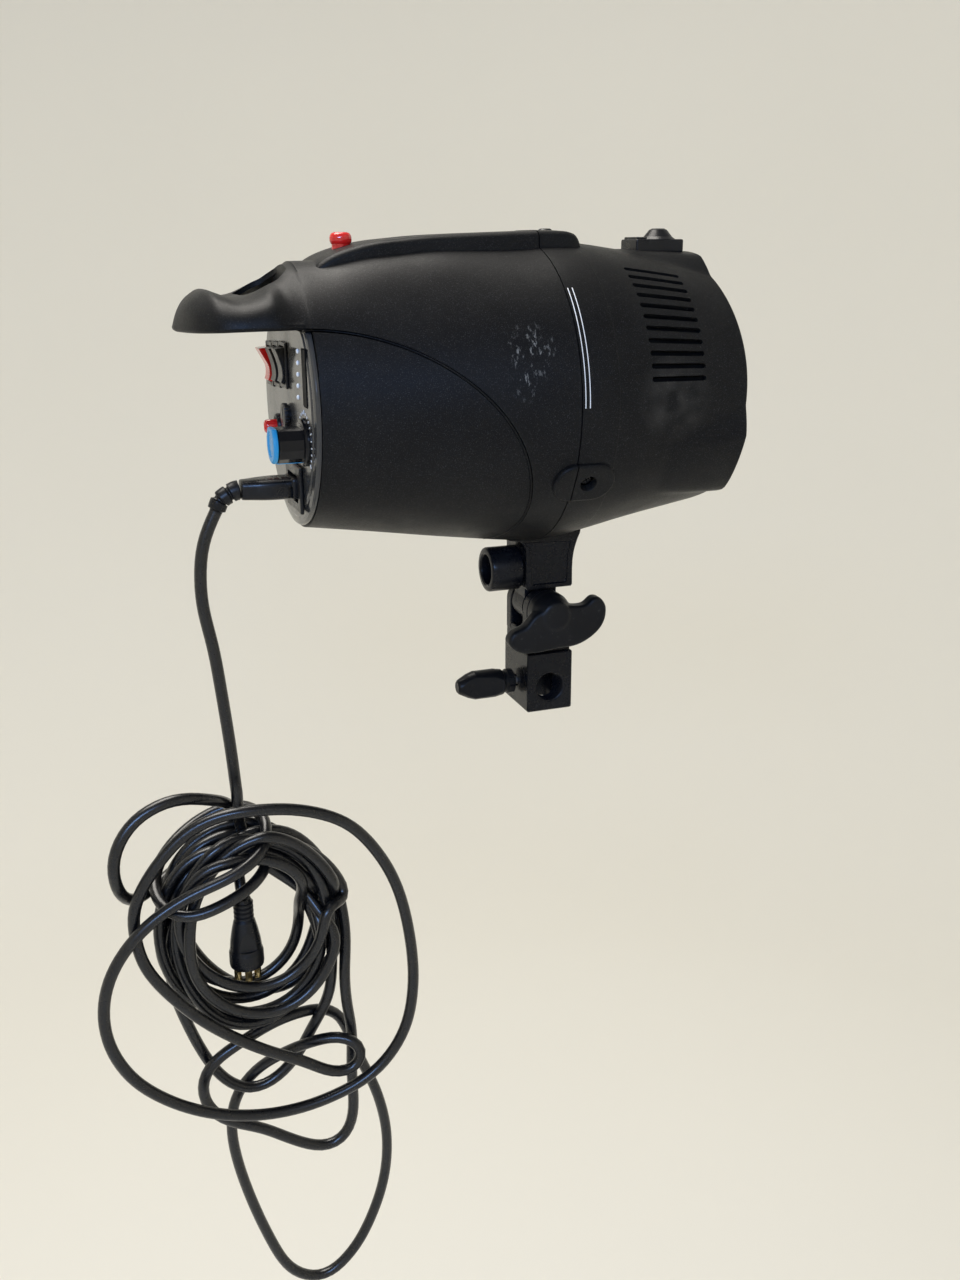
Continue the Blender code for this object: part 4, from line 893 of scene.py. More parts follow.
def make_inlet():
    y, z = on_panel(INLET_AT)
    inlet = box("mains_inlet_housing", (0.0018, INLET_WIDE + 0.003, INLET_TALL + 0.0025),
                (FACE - 0.0009, y, z), 0.0007, 4)
    join(inlet, box("well", (0.0206, INLET_WIDE - 0.0028, INLET_TALL - 0.0028), (FACE + 0.0098, y, z), 0.001))
    cut(inlet, box("mouth", (0.036, INLET_WIDE - 0.0064, INLET_TALL - 0.0064), (FACE, y, z), 0.001))
    pins = [box("pin", (0.013, 0.002, 0.004), (FACE + 0.0127, y + shift, z + lift), 0.0003)
            for shift, lift in INLET_PINS]
    return bevel(join(inlet, *pins), 0.00015, 2, 40)


def make_test_button():
    y, z = on_panel(TEST_AT)
    ring = [(0.0062, 0.0), (0.0062, -0.0009), (0.0058, -0.0015), (0.0052, -0.0017), (0.0046, -0.0015),
            (0.0041, -0.0009), (0.0041, 0.0)]
    bezel = turned("test_button_ring", ring, (FACE, y, z))
    button = turned("test_button_key", [(0, 0.0034), (0.0034, 0.0034), (0.0034, -0.0058), (0.0032, -0.0066),
                                        (0.0027, -0.0071), (0.0021, -0.007), (0.0017, -0.0064),
                                        (0, -0.0061)], (FACE, y, z), "X")
    return smooth(bezel), smooth(button)


# ---------------------------------------------------------------- top and front pieces

def make_slave_dome():
    """The clear red cap over the slave cell, rounded like a mushroom."""
    outer = [(0.0, 0.0781), (0.0012, 0.0782), (0.0022, 0.0786), (0.0032, 0.0787), (0.0042, 0.0783),
            (0.0049, 0.0774), (0.0052, 0.0762), (0.0052, 0.0748), (0.0048, 0.0738), (0.0043, 0.0734),
            (0.0043, 0.069)]
    inner = [(0.0027, 0.069), (0.0027, 0.0735), (0.0018, 0.0743), (0.0, 0.0746)]
    return smooth(turned("slave_sensor_dome", outer + inner, (SLAVE_X, 0, AXIS_Z), "Z", 48), 50)


def make_vent_shade_sheet():
    """A thin near-black sheet behind the vents: painted shade that keeps the slots dark where the inside
    would show.
    """
    start, end = VENT_X[0] - 0.004, FLANGE_X - 0.0004
    sheet = loft("vent_painted_shade_sheet", front_sections(start, WALL + 0.0003, end))
    hollow = loft("shade_sheet_hollow", front_sections(start - 0.002, WALL + 0.001, end + 0.002))
    latch_way = box("latch_way", (0.04, 0.032, 0.04), (FLANGE_X, 0, AXIS_Z + 0.065))
    belly_way = box("belly_way", (0.06, 0.05, 0.06), (0.01, 0, AXIS_Z - 0.07))
    return smooth(carve(sheet, hollow, latch_way, belly_way))


def make_lock_spring():
    """The coil spring that pushes the accessory lock forward."""
    turns, radius, steps = 6, 0.0026, 24
    count = turns * steps
    middle = Vector((SPRING_X, 0, AXIS_Z + SPRING_Z))
    line = [middle + Vector((SPRING_LONG * k / count, radius * cos(tau * k / steps),
                             radius * sin(tau * k / steps))) for k in range(count + 1)]
    return smooth(tube("lock_spring_coil", line, 0.0004, 10))


def make_slider():
    """The accessory lock: a low bar with end lips, and a domed thumb grip with ridges."""
    start, end, base = 0.0475, 0.0742, AXIS_Z + 0.0714
    slider = box("accessory_slider", (end - start, 0.018, 0.0064), ((start + end) / 2, 0, base + 0.0006),
                 0.0009, 4)
    profile = [(0, 0.0091), (0.0032, 0.009), (0.0046, 0.0083), (0.0058, 0.0068), (0.0072, 0.0051),
            (0.0088, 0.0039), (0.009, 0.0028), (0, 0.0028)]
    bump = turned("thumb_grip", profile, (0.064, 0, base), "Z", 64)
    join(slider, bump, box("stem", (0.01, 0.005, 0.0168), (0.0625, 0, base - 0.0075)))
    for x in (0.0492, 0.0514, 0.0536):
        join(slider, box("ridge", (0.001, 0.015, 0.0014), (x, 0, base + 0.0042), 0.0004))
    return bevel(slider, 0.0003, 3, 40)


def make_screw(name, side):
    """A countersunk cross-head screw in the side pad."""
    screw = turned(name, [(0, 0.0), (0.0022, 0.0), (0.0028, -0.0005), (0.003, -0.0012), (0.003, -0.0058),
                          (0, -0.0058)], ORIGIN, "Z", 48)
    for turn in (35, 125):
        cut(screw, stand(box("arm", (0.0034, 0.0007, 0.0022), ORIGIN), ORIGIN, radians(turn), "Z"))
    return on_side(smooth(screw), SCREW_X, 0.0727, side, BOSS_ANGLE)


def make_top_cap():
    return smooth(turned("top_screw_plug", [(0, 0.0804), (0.0022, 0.0804), (0.003, 0.0801), (0.0034, 0.0796),
                                            (0.0034, 0.0736), (0, 0.0736)], (CAP_X, 0, AXIS_Z), "Z"))


def make_stripes(side):
    """The two painted bands that follow the seam on the flank, as thin raised paint."""
    bands = []
    wide, first, last = 0.0004, 46, 1
    for x in (-0.0091, -0.0069):
        rings = []
        for k in range(61):
            angle = radians(first + (last - first) * k / 60)
            radius = barrel_radius(x)
            for_y, for_z = side * cos(angle), sin(angle)
            rings.append([(x + dx, (radius + dr) * for_y, AXIS_Z + (radius + dr) * for_z)
                          for dx, dr in ((-wide / 2, -0.0001), (wide / 2, -0.0001),
                                         (wide / 2, 0.00006), (-wide / 2, 0.00006))])
        bands.append(loft("band", rings))
    return merge("seam_stripes_" + ("left" if side < 0 else "right"), bands)


def make_glass_cover():
    outer = curve_points([(0.0001, 0.034), (0.014, 0.033), (0.028, 0.029), (0.037, 0.022), (0.0402, 0.014),
            (0.0405, 0.008), (0.0405, 0.0002)], 5)
    inner = [(max(r - 0.0022, 0.0001), h - 0.0022 if h > 0.012 else h) for r, h in reversed(outer)]
    return smooth(turned("frosted_dome", outer + inner, (0.0682, 0, AXIS_Z), "X", 96), 40)


def make_flash_tube():
    """A ring of quartz tube whose two legs go back into the base."""
    legs = [(0.068, 16), (0.0722, 16.5), (0.0755, 19), (0.0765, 25)]
    ring = [(0.0765, a) for a in range(37, 324, 12)]
    path = [(x, 0.03 * sin(radians(a)), AXIS_Z - 0.03 * cos(radians(a)))
            for x, a in legs + ring + [(x, 360 - a) for x, a in reversed(legs)]]
    return smooth(tube("quartz_ring", curve_points(path, 4), 0.0034, 20), 60)


# ---------------------------------------------------------------- bracket

TUBE_Z, TUBE_R, TUBE_START = 0.0774, 0.0118, -0.0306
EAR_IN, EAR_OUT, EAR_R = 0.0083, 0.015, 0.0108
SOCKET_R, SIDE_HOLE_Z, BOLT_R = 0.0082, 0.0135, 0.0035
BOLT_WAY_R = BOLT_R + 0.0003
BLOCK = (0.026, 0.034, 0.033)


def make_foot():
    """The cast foot under the head: a flange, a sculpted neck with ribs, and a tongue."""
    top = AXIS_Z - 0.0682
    rear = curve_points([(-0.0264, top - 0.0012), (-0.0235, top - 0.004), (-0.017, top - 0.0056),
            (-0.0136, top - 0.009), (-0.013, 0.084), (-0.013, 0.069)], 5)
    front = curve_points([(0.0132, 0.069), (0.0132, 0.08), (0.014, 0.087), (0.0158, 0.093),
            (0.0174, 0.0968), (0.0175, top - 0.0004)], 5)
    outline = [(-0.0264, top), *rear, (-0.0124, 0.068), (0.0126, 0.068), *front, (0.017, top)]
    foot = prism("tilt_foot", outline, 0.028)
    hollow = ((-0.01, 0.07), (0.0102, 0.07), (0.0106, 0.0855), (0.0122, 0.0925), (-0.015, 0.0935),
            (-0.0105, 0.089))
    for side in (-1, 1):
        cut(foot, prism("hollow", hollow, 0.004, (0, side * 0.0148, 0), "Y", 0.0012, 3))
    tongue = rod("tongue", 0.0105, 0.014, PIVOT, "Y", 64)
    neck = box("neck", (0.018, 0.014, 0.072 - PIVOT.z), (PIVOT.x, 0, (PIVOT.z + 0.072) / 2))
    join(foot, neck, tongue)
    cut(foot, rod("pivot_way", BOLT_WAY_R, 0.04, PIVOT, "Y"),
        rod("tube_seat", 0.0075, 0.06, (0, 0, TUBE_Z), "X"))
    for x in (-0.016, 0.006):
        cut(foot, rod("screw_way", 0.0019, 0.0125, (x, 0, top - 0.001), "Z", 24))
    return bevel(foot, 0.0007, 3, 35)


def make_umbrella_tube():
    end, foot = 0.0125, -0.0133
    profile = [(0.0072, end), (0.0072, foot), (TUBE_R - 0.0005, foot), (TUBE_R, foot - 0.0005),
            (TUBE_R, TUBE_START + 0.0012), (TUBE_R - 0.0004, TUBE_START + 0.0004),
            (TUBE_R - 0.0011, TUBE_START), (0.0088, TUBE_START), (0.008, TUBE_START + 0.0006),
            (0.0078, TUBE_START + 0.0014), (0.0078, foot - 0.003), (0.005, foot - 0.003), (0.005, end)]
    return smooth(turned("umbrella_socket", profile, (0, 0, TUBE_Z), "X", 96))


def make_stand_block():
    """The clevis block: a milled body with a sloped shoulder, two ears and the stand's bore."""
    wide, deep, tall = BLOCK
    block = box("clevis_block", (wide, deep, tall), (0, 0, tall / 2), 0.0012, 4)
    shoulder = PIVOT.z - 0.0125
    neck = [(-0.0128, 0.028), (0.0128, 0.028), (0.0122, 0.0345), (0.0104, shoulder), (-0.0126, shoulder)]
    join(block, prism("neck", neck, 2 * EAR_OUT, ORIGIN, "Y", 0.001, 3))
    for side in (-1, 1):
        arch = [(PIVOT.x + EAR_R * cos(pi * k / 30), PIVOT.z + EAR_R * sin(pi * k / 30))
                for k in range(31)]
        ear = prism("ear", [(PIVOT.x - EAR_R, 0.04), (PIVOT.x + EAR_R, 0.04), *arch], EAR_OUT - EAR_IN,
                    (0, side * (EAR_IN + EAR_OUT) / 2, 0), "Y", 0.0009, 3)
        join(block, ear)
    thread = [(SOCKET_R - 0.0004 * (k % 2), -0.0006 * k) for k in range(28)]
    side_bore = turned("side_bore", [(0, 0.002), (SOCKET_R + 0.0008, 0.002), (SOCKET_R + 0.0008, 0.0004),
                                     (SOCKET_R, -0.0004), *thread[1:], (0, -0.0162)],
                       ORIGIN, "Z", 64)
    stand(side_bore, (0, -deep / 2, SIDE_HOLE_Z), pi / 2, "X")
    cut(block, rod("stand_bore", SOCKET_R, 0.058, ORIGIN, "Z", 96), side_bore,
        rod("knob_way", 0.0033, 0.02, (-wide / 2, 0, SIDE_HOLE_Z), "X"),
        rod("bolt_way", BOLT_WAY_R, 0.05, PIVOT, "Y"))
    return bevel(block, 0.0005, 3, 40)


HANDLE_OUTLINE = ((-0.026, -0.0125), (-0.024, -0.007), (-0.017, -0.004), (-0.011, 0.002), (0.0, 0.006),
    (0.011, 0.0045), (0.017, 0.0047), (0.0215, 0.008), (0.0257, 0.0072), (0.0288, 0.002), (0.0277, -0.006),
    (0.0222, -0.0125), (0.0125, -0.0172), (0.0, -0.018), (-0.01, -0.019), (-0.02, -0.018))


def make_tilt_handle():
    """The moulded wing handle: a hub that blends into two wings, melted into one soft form."""
    inner, outer = -EAR_OUT - 0.0003, -EAR_OUT - 0.0153
    profile = [(0, inner), (0.011, inner), (0.011, inner - 0.006), (0.0098, inner - 0.0105),
            (0.0076, outer + 0.0006), (0.006, outer), (0, outer)]
    hub = turned("wing_handle", profile, (PIVOT.x, 0, PIVOT.z), "Y", 64)
    outline = [(PIVOT.x + p[0], PIVOT.z + p[1]) for p in curve_points(HANDLE_OUTLINE, 4, closed=True)]
    join(hub, prism("wings", outline, 0.0085, (0, outer + 0.0052, 0), "Y", 0.0018, 3))
    soften(hub, 0.00055, 9)
    carve(hub, rod("bolt_way", BOLT_WAY_R, 0.02, (PIVOT.x, -EAR_OUT, PIVOT.z), "Y"))
    return smooth(hub, 50)


def make_lock_knob():
    """The stand's lock knob: a ribbed collar, a flattened grip and a faceted tip."""
    start = -BLOCK[0] / 2 - 0.0022
    profile = [(0, 0.0), (0.006, 0.0), (0.0068, -0.0006), (0.0068, -0.0038), (0.006, -0.0044),
            (0.006, -0.0056), (0.007, -0.0066), (0.0078, -0.011), (0.0078, -0.0225), (0.0066, -0.0262),
            (0.004, -0.0312), (0.003, -0.032), (0, -0.032)]
    knob = turned("stand_lock_grip", profile, (start, 0, SIDE_HOLE_Z), "X", 64)
    for side in (-1, 1):
        flat = box("flat", (0.03, 0.012, 0.02), ORIGIN, 0.002)
        cut(knob, stand(flat, (start - 0.0215, side * 0.0112, SIDE_HOLE_Z), side * radians(5), "Z"))
    for angle in around(10):
        cut(knob, rod("rib", 0.0007, 0.003, (start - 0.0022, 0.007 * cos(angle),
                                              SIDE_HOLE_Z + 0.007 * sin(angle)), "X", 16))
    bevel(knob, 0.0003, 2, 35)
    return cut(knob, rod("stud_way", 0.0026, 0.02, (start, 0, SIDE_HOLE_Z)))


def make_bolt():
    bolt = rod("pivot_bolt_turned", BOLT_R, 0.04, (PIVOT.x, -0.0035, PIVOT.z), "Y", 48, 0.0005)
    return smooth(bolt)


# ---------------------------------------------------------------- mains lead

def mm(*points):
    """Points given in millimetres, in metres."""
    return [tuple(value / 1000 for value in point) for point in points]


def at_depth(y, *places):
    """Points of (x, z) in millimetres, all at one depth in metres."""
    return [(x / 1000, y, z / 1000) for x, z in places]


PLUG_AT = Vector((-0.171, CORD_Y, -0.101))
BUNDLE_X, TIE_Z = -0.168, -0.047
DROP = (EXIT, SWING, *at_depth(CORD_Y, (-175.7, 112.5), (-178.8, 103), (-180.3, 89), (-180, 75),
    (-176.5, 55), (-174, 30), (-171.5, 0), (-170, -25), (-167.5, -46.3), (-155, -64), (-137, -84)))
LOOP_FRONT = at_depth(-0.038, (-173, -22), (-146, -25), (-121, -36), (-105, -55), (-94, -79), (-88, -110),
    (-87, -140), (-93, -167), (-110, -188), (-136, -198), (-162, -200), (-187, -195), (-211, -183),
    (-232, -164), (-243, -143), (-246, -122), (-242, -102), (-232, -85), (-218, -72), (-199, -62))
LOOP_LOW = mm((-117, -10, -180), (-110, -6, -202), (-101, -6, -227), (-96, -6, -256), (-98, -6, -286),
    (-107, -6, -314), (-120, -6, -336), (-138, -6, -348), (-157, -6, -336), (-170, -6, -304),
    (-181, -6, -262), (-185, -6, -230), (-181, -6, -208), (-169, -8, -192), (-155, -14, -181))
LOOP_MIDDLE = at_depth(-0.022, (-118, -170), (-119, -196), (-119, -224), (-125, -239), (-137, -242),
    (-153, -233), (-170, -220), (-190, -209), (-199, -196), (-200, -183), (-194, -172))
LOOP_BELOW = mm((-128, -14, -142), (-138, -14, -164), (-149, -14, -185), (-162, -14, -197),
    (-175, -14, -199), (-186, -14, -191), (-195, -14, -176), (-204, -14, -151), (-211, -16, -120),
    (-208, -18, -88), (-192, -18, -60), (-166, -16, -45), (-140, -14, -56), (-124, -14, -82),
    (-119, -18, -110), (-121, -22, -135), (-120, -22, -155))
TURN_IN = mm((-178, -22, -163), (-158, -18, -158), (-138, -14, -159), (-123, -10, -166))
LOOP_LEFT = mm((-141, -22, -172), (-126, -28, -168), (-115, -33, -174), (-118, -34, -185),
    (-131, -34, -186), (-148, -34, -174), (-168, -34, -162), (-191, -34, -144), (-209, -34, -124),
    (-223, -34, -102), (-227, -34, -83), (-226, -34, -66), (-215, -34, -47), (-199, -34, -31),
    (-184, -36, -24))
WRAPS = (*mm((-180, -38, -56), (-164, -30, -50), (-158, -12, -43), (-168, 6, -40), (-190, 8, -46),
    (-210, -4, -58), (-215, -24, -68), (-204, -38, -74), (-186, -40, -70), (-166, -34, -62),
    (-156, -14, -56), (-166, 8, -55), (-190, 10, -64), (-212, -2, -74), (-226, -20, -70), (-233, -30, -56),
    (-233, -32, -38), (-222, -30, -22), (-203, -28, -15), (-184, -22, -21), (-172, -6, -34), (-170, 4, -52),
    (-171, -4, -69), (-171, -12, -79)), *at_depth(CORD_Y, (-171, -86)))
TURNS, PER_TURN = 8, 14
SETTLE_ROUNDS = 90


def bundle_turns():
    """The wound part: ovals of slightly different size and tilt that share the tie at the top."""
    draw = random.Random(11)
    points = []
    for turn in range(TURNS):
        wide, tall = draw.uniform(0.034, 0.046), draw.uniform(0.042, 0.054)
        middle = (BUNDLE_X + draw.uniform(-0.005, 0.005), TIE_Z - tall)
        lean = radians(draw.uniform(-24, 14))
        layer = CORD_Y + 0.0062 * ((turn * 3) % 5 - 2)
        for k in range(PER_TURN):
            angle = radians(105) + 2 * pi * k / PER_TURN
            x, z = wide * sin(angle), tall * cos(angle)
            points.append((middle[0] + x * cos(lean) + z * sin(lean),
                           layer + 0.0025 * sin(angle + turn),
                           middle[1] - x * sin(lean) + z * cos(lean)))
    return points


def even(points, spacing):
    """The same line with a point at every spacing."""
    lengths = [0.0]
    for a, b in zip(points, points[1:]):
        lengths.append(lengths[-1] + (b - a).length)
    count = round(lengths[-1] / spacing)
    line, at = [], 0
    for k in range(count + 1):
        goal = lengths[-1] * k / count
        while at < len(lengths) - 2 and lengths[at + 1] < goal:
            at += 1
        share = (goal - lengths[at]) / max(lengths[at + 1] - lengths[at], 1e-9)
        line.append(points[at].lerp(points[at + 1], min(max(share, 0), 1)))
    return line


def settle_strands(points, fixed_start, fixed_end):
    """Pushes strands that pass through each other apart, and spreads each push along the lead."""
    rest = np.array(points)
    place = rest.copy()
    count = len(place)
    index = np.arange(count)
    far_along = np.abs(index[:, None] - index[None, :]) > 9
    grip = np.ones(count)
    grip[:fixed_start] = 0
    grip[count - fixed_end:] = 0
    for _ in range(SETTLE_ROUNDS):
        apart = place[:, None, :] - place[None, :, :]
        distance = np.sqrt((apart ** 2).sum(-1)) + 1e-9
        shortfall = np.where(far_along, np.maximum(0, 2.03 * CORD_R - distance), 0)
        push = (apart / distance[..., None] * shortfall[..., None]).sum(1) * 0.35
        place = place + push * grip[:, None]
        moved = place - rest
        for _ in range(2):
            moved[1:-1] += 0.3 * ((moved[:-2] + moved[2:]) / 2 - moved[1:-1])
        place = rest + moved * grip[:, None]
    return [Vector(p) for p in place]


def lead_route():
    knots = [*DROP, *bundle_turns(), *LOOP_BELOW, *LOOP_MIDDLE, *TURN_IN, *LOOP_LOW, *LOOP_LEFT, *LOOP_FRONT,
             *WRAPS]
    line = even(curve_points(knots, 10), 0.0042)
    for _ in range(3):
        inner = [a.lerp(b, 0.5).lerp(c, 1 / 3) for a, b, c in zip(line, line[2:], line[1:])]
        line = [line[0], *inner, line[-1]]
    return settle_strands(line, fixed_start=36, fixed_end=2)


def make_lead():
    route = lead_route()
    return smooth(tube("mains_lead", route, CORD_R, 14), 60), route


def make_connector():
    """The moulded connector: a body that narrows behind its shoulders, with grip ribs."""
    y, z = on_panel(INLET_AT)
    mouth = PANEL_X - 0.002
    rings = []
    sections = [(0.0, 0.0078, 0.0051), (0.004, 0.008, 0.0053), (0.01, 0.008, 0.0053),
            (0.016, 0.0074, 0.0051), (0.021, 0.006, 0.0048), (0.0245, 0.0052, 0.0046),
            (0.025, 0.0046, 0.0042)]
    for along, wide, tall in curve_points(sections, 5):
        ring = []
        for angle in around(48):
            ring.append((mouth - along, y + wide * signed_power(cos(angle), 0.55),
                         z + tall * signed_power(sin(angle), 0.55)))
        rings.append(ring)
    body = loft("lead_connector", rings)
    join(body, box("nose", (0.0115, 0.018, 0.01), (mouth + 0.0035, y, z), 0.0012))
    for shift, lift in INLET_PINS:
        cut(body, box("pin_way", (0.03, 0.0034, 0.0054), (mouth + 0.011, y + shift, z + lift)))
    for k in range(3):
        for side in (-1, 1):
            cut(body, box("grip", (0.0011, 0.011, 0.0014),
                          (mouth - 0.007 - 0.0032 * k, y, z + side * 0.0056), 0.0003))
    return bevel(body, 0.0002, 2, 40)


def make_strain_relief():
    """The flexible sleeve: chunky segments, joined by a thinner core, that curve down to the lead."""
    y, z = on_panel(INLET_AT)
    knots = [(PANEL_X - 0.0276, y, z), (-0.162, y, z - 0.0006), (-0.168, y, 0.1272), EXIT]
    line = even(curve_points(knots, 20), 0.0003)
    radii = []
    for k in range(len(line)):
        share = k / (len(line) - 1)
        phase = (share * 3.0) % 1.0
        swell = smooth_step(phase / 0.1) * smooth_step((0.88 - phase) / 0.1)
        radii.append((0.0047 - 0.0004 * share) * (0.72 + 0.28 * swell))
    sleeve = tube("lead_strain_relief", line, 0, 28, radii)
    return smooth(sleeve, 55)


def make_plug():
    """A moulded plug, lead upwards: a ribbed neck, a grip that widens, and three round pins."""
    profile = [(0, 0.019), (0.004, 0.019)]
    for k in range(4):
        top = 0.0172 - 0.0026 * k
        profile += [(0.0046, top), (0.0052, top - 0.0005), (0.0052, top - 0.0014), (0.0045, top - 0.0019)]
    profile += [(0.0056, 0.006), (0.0068, 0.001), (0.0079, -0.005), (0.0084, -0.01), (0.009, -0.012),
                (0.0091, -0.018), (0.0088, -0.0198), (0.008, -0.0205), (0, -0.0207)]
    plug = turned("lead_plug", profile, PLUG_AT, "Z", 64)
    for side in (-1, 1):
        cut(plug, box("finger_flat", (0.03, 0.006, 0.011),
                      PLUG_AT + Vector((0, side * 0.0098, -0.004)), 0.0008))
    return bevel(plug, 0.0002, 2, 40)


def make_plug_pins():
    pins = [rod("pin", 0.0019, 0.009, PLUG_AT + Vector((x, y, -0.025)), "Z", 32, 0.0007)
            for x, y in ((-0.0052, 0), (0.0052, 0), (0, -0.0026))]
    return smooth(merge("plug_pins", pins))


# ---------------------------------------------------------------- the finishes

def casing_finish():
    """Spark-eroded black moulding: fine speckle with painted glints, rubbed patches, dust and a few pale
    scuffs.
    """
    s = Shader("casing_moulding")
    broad, fine = s.noise(26, 4.0), s.noise(1250, 2.5, 0.6)
    speck = s.noise(2600, 1.0)
    tint = s.mix(s.spread(broad, 0.35, 0.65, 0, 1), (0.0042, 0.0042, 0.0044), (0.0074, 0.0073, 0.0071))
    # pale specks painted into the colour: painted glints of the spark-eroded grain, whose bumps below are
    # real
    tint = s.mix(s.spread(speck, 0.6, 0.72, 0, 0.34), tint, (0.09, 0.09, 0.088))
    chalk_place = s.maths("MAXIMUM", s.near((-0.0335, -0.0675, 0.195), 0.015, 0.3),
                          s.near((-0.036, -0.0705, 0.182), 0.01, 0.2))
    streaks = s.spread(s.noise(330, 6.0, 0.72, (1.5, 1.0, 0.5)), 0.565, 0.64, 0, 1)
    chalk = s.maths("MULTIPLY", s.maths("MULTIPLY", chalk_place, streaks), 0.62)
    tint = s.mix(chalk, tint, (0.34, 0.34, 0.32))
    blotch_place = s.near((0.04, -0.0722, 0.171), 0.022, 0.1)
    cloud = s.spread(s.noise(48, 2.0), 0.36, 0.66, 0, 1)
    blotch = s.maths("MULTIPLY", s.maths("MULTIPLY", blotch_place, cloud), 0.2)
    tint = s.mix(blotch, tint, (0.32, 0.29, 0.24))
    dust = s.maths("MULTIPLY", s.spread(s.noise(520, 4.0, 0.7), 0.66, 0.74, 0, 0.35),
                   s.spread(s.noise(40, 2.0), 0.5, 0.7, 0, 1))
    tint = s.mix(dust, tint, (0.3, 0.29, 0.27))
    s.colour(tint)
    gloss = s.maths("ADD", s.spread(s.noise(60, 3.0), 0.3, 0.7, -0.05, 0.05),
                    s.spread(fine, 0.3, 0.7, 0.38, 0.5))
    gloss = s.maths("ADD", gloss, s.maths("MULTIPLY", chalk, 0.5))
    s.rough(gloss)
    s.bump((broad, 0.15, 0.0002), (fine, 0.85, 0.00008), (speck, 0.5, 0.00004))
    return s.done(Specular_IOR_Level=0.14)


def lead_finish():
    """Glossy flexible jacket with faint waves and handling marks."""
    s = Shader("lead_jacket")
    wave, fine = s.noise(160, 2.0), s.noise(900, 2.0)
    s.colour(s.mix(s.spread(wave, 0.35, 0.65, 0, 1), (0.0032, 0.0032, 0.0035), (0.0055, 0.0055, 0.006)))
    s.rough(s.spread(fine, 0.3, 0.7, 0.26, 0.34))
    s.bump((wave, 0.15, 0.0001), (fine, 0.12, 0.00001))
    return s.done(Coat_Weight=0.2, Coat_Roughness=0.18, Specular_IOR_Level=0.42)


def clear_red():
    s = Shader("clear_red_moulding")
    wave, fine = s.noise(220, 2.0), s.noise(1400, 2.0)
    s.colour(s.mix(s.spread(wave, 0.3, 0.7, 0, 1), (0.8, 0.016, 0.014), (0.92, 0.03, 0.026)))
    s.rough(s.spread(fine, 0.3, 0.7, 0.1, 0.2))
    s.bump((fine, 0.2, 0.00002))
    return s.done(Transmission_Weight=0.25, IOR=1.49, Coat_Weight=0.4)


def frosted_glass():
    s = Shader("frosted_glass")
    fine = s.noise(1800, 2.0)
    s.colour(s.mix(fine, (0.8, 0.82, 0.8), (0.9, 0.91, 0.89)))
    s.rough(s.spread(fine, 0.3, 0.7, 0.22, 0.36))
    s.bump((fine, 0.3, 0.00003))
    return s.done(Transmission_Weight=0.65, IOR=1.46)


def winding_finish():
    """Varnished enamelled wire, wound in fine even turns along X."""
    s = Shader("varnished_winding")
    wave = s.add("ShaderNodeTexWave", wave_type="BANDS", bands_direction="X")
    wave.inputs["Scale"].default_value = 320
    wave.inputs["Distortion"].default_value = 0.6
    s.link(s.where, wave.inputs["Vector"])
    turns = wave.outputs["Fac"]
    s.colour(s.mix(turns, (0.2, 0.07, 0.02), (0.62, 0.3, 0.1)))
    s.rough(s.spread(s.noise(600), 0.3, 0.7, 0.22, 0.38))
    s.bump((turns, 0.8, 0.0002))
    return s.done(Metallic=0.6, Coat_Weight=0.4)


def board_finish():
    """Green solder mask with fine copper tracks under it."""
    s = Shader("solder_mask")
    cells = s.add("ShaderNodeTexVoronoi", feature="DISTANCE_TO_EDGE", distance="CHEBYCHEV")
    cells.inputs["Scale"].default_value = 210
    s.link(s.where, cells.inputs["Vector"])
    track = s.spread(cells.outputs["Distance"], 0.04, 0.09, 1, 0)
    tint = s.mix(s.noise(90), (0.01, 0.1, 0.035), (0.016, 0.15, 0.05))
    s.colour(s.mix(s.maths("MULTIPLY", track, 0.6), tint, (0.05, 0.3, 0.1)))
    s.rough(s.spread(s.noise(500), 0.3, 0.7, 0.25, 0.4))
    s.bump((track, 0.5, 0.00005))
    return s.done(Coat_Weight=0.3)


LOOKS = {
    "casing_plastic": casing_finish(),
    "panel_plastic": surface("panel_moulding", (0.036, 0.035, 0.033), 0.2, grain=700, depth=0.00001,
                             mottle=0.3, patches=22, Coat_Weight=0.12, Coat_Roughness=0.08),
    "control_black": surface("control_moulding", (0.0065, 0.0065, 0.007), 0.3, grain=1100, depth=0.00003,
                             dust=0.05, Specular_IOR_Level=0.28),
    "switch_red": clear_red(),
    "knob_blue": surface("blue_cap", (0.008, 0.3, 0.62), 0.3, grain=1500, depth=0.00002, mottle=0.1),
    "grip_plastic": surface("grip_moulding", (0.0044, 0.0046, 0.0055), 0.38, grain=850, depth=0.00006,
                            dust=0.08, Specular_IOR_Level=0.18),
    "bracket_metal": surface("bracket_coating", (0.0036, 0.0038, 0.005), 0.26, grain=1000,
                             depth=0.00003, dust=0.06, Specular_IOR_Level=0.19),
    "steel": surface("brushed_steel", (0.52, 0.52, 0.53), 0.3, 1.0, grain=900, depth=0.00002,
                     stretch=(1, 1, 6)),
    "copper_winding": winding_finish(),
    "transformer_core": surface("varnished_core", (0.045, 0.042, 0.04), 0.42, grain=420, depth=0.0001,
                                mottle=0.35),
    "aluminium": surface("satin_aluminium", (0.47, 0.47, 0.48), 0.44, 1.0, grain=700, depth=0.00003,
                         stretch=(6, 1, 1)),
    "circuit_board": board_finish(),
    "ceramic": surface("dark_ceramic", (0.035, 0.034, 0.032), 0.45, grain=500, depth=0.00003),
    "glass": frosted_glass(),
    "capacitor_sleeve": surface("shrink_sleeve", (0.018, 0.035, 0.12), 0.28, grain=300, depth=0.00006),
    "cord_jacket": lead_finish(),
}
PRINT = surface("white_print", (0.9, 0.9, 0.88), 0.45, grain=1600, depth=0.00001, mottle=0.1)
GLOSS_BLACK = surface("gloss_moulding", (0.005, 0.005, 0.006), 0.15, grain=900, depth=0.00001,
    Specular_IOR_Level=0.28)
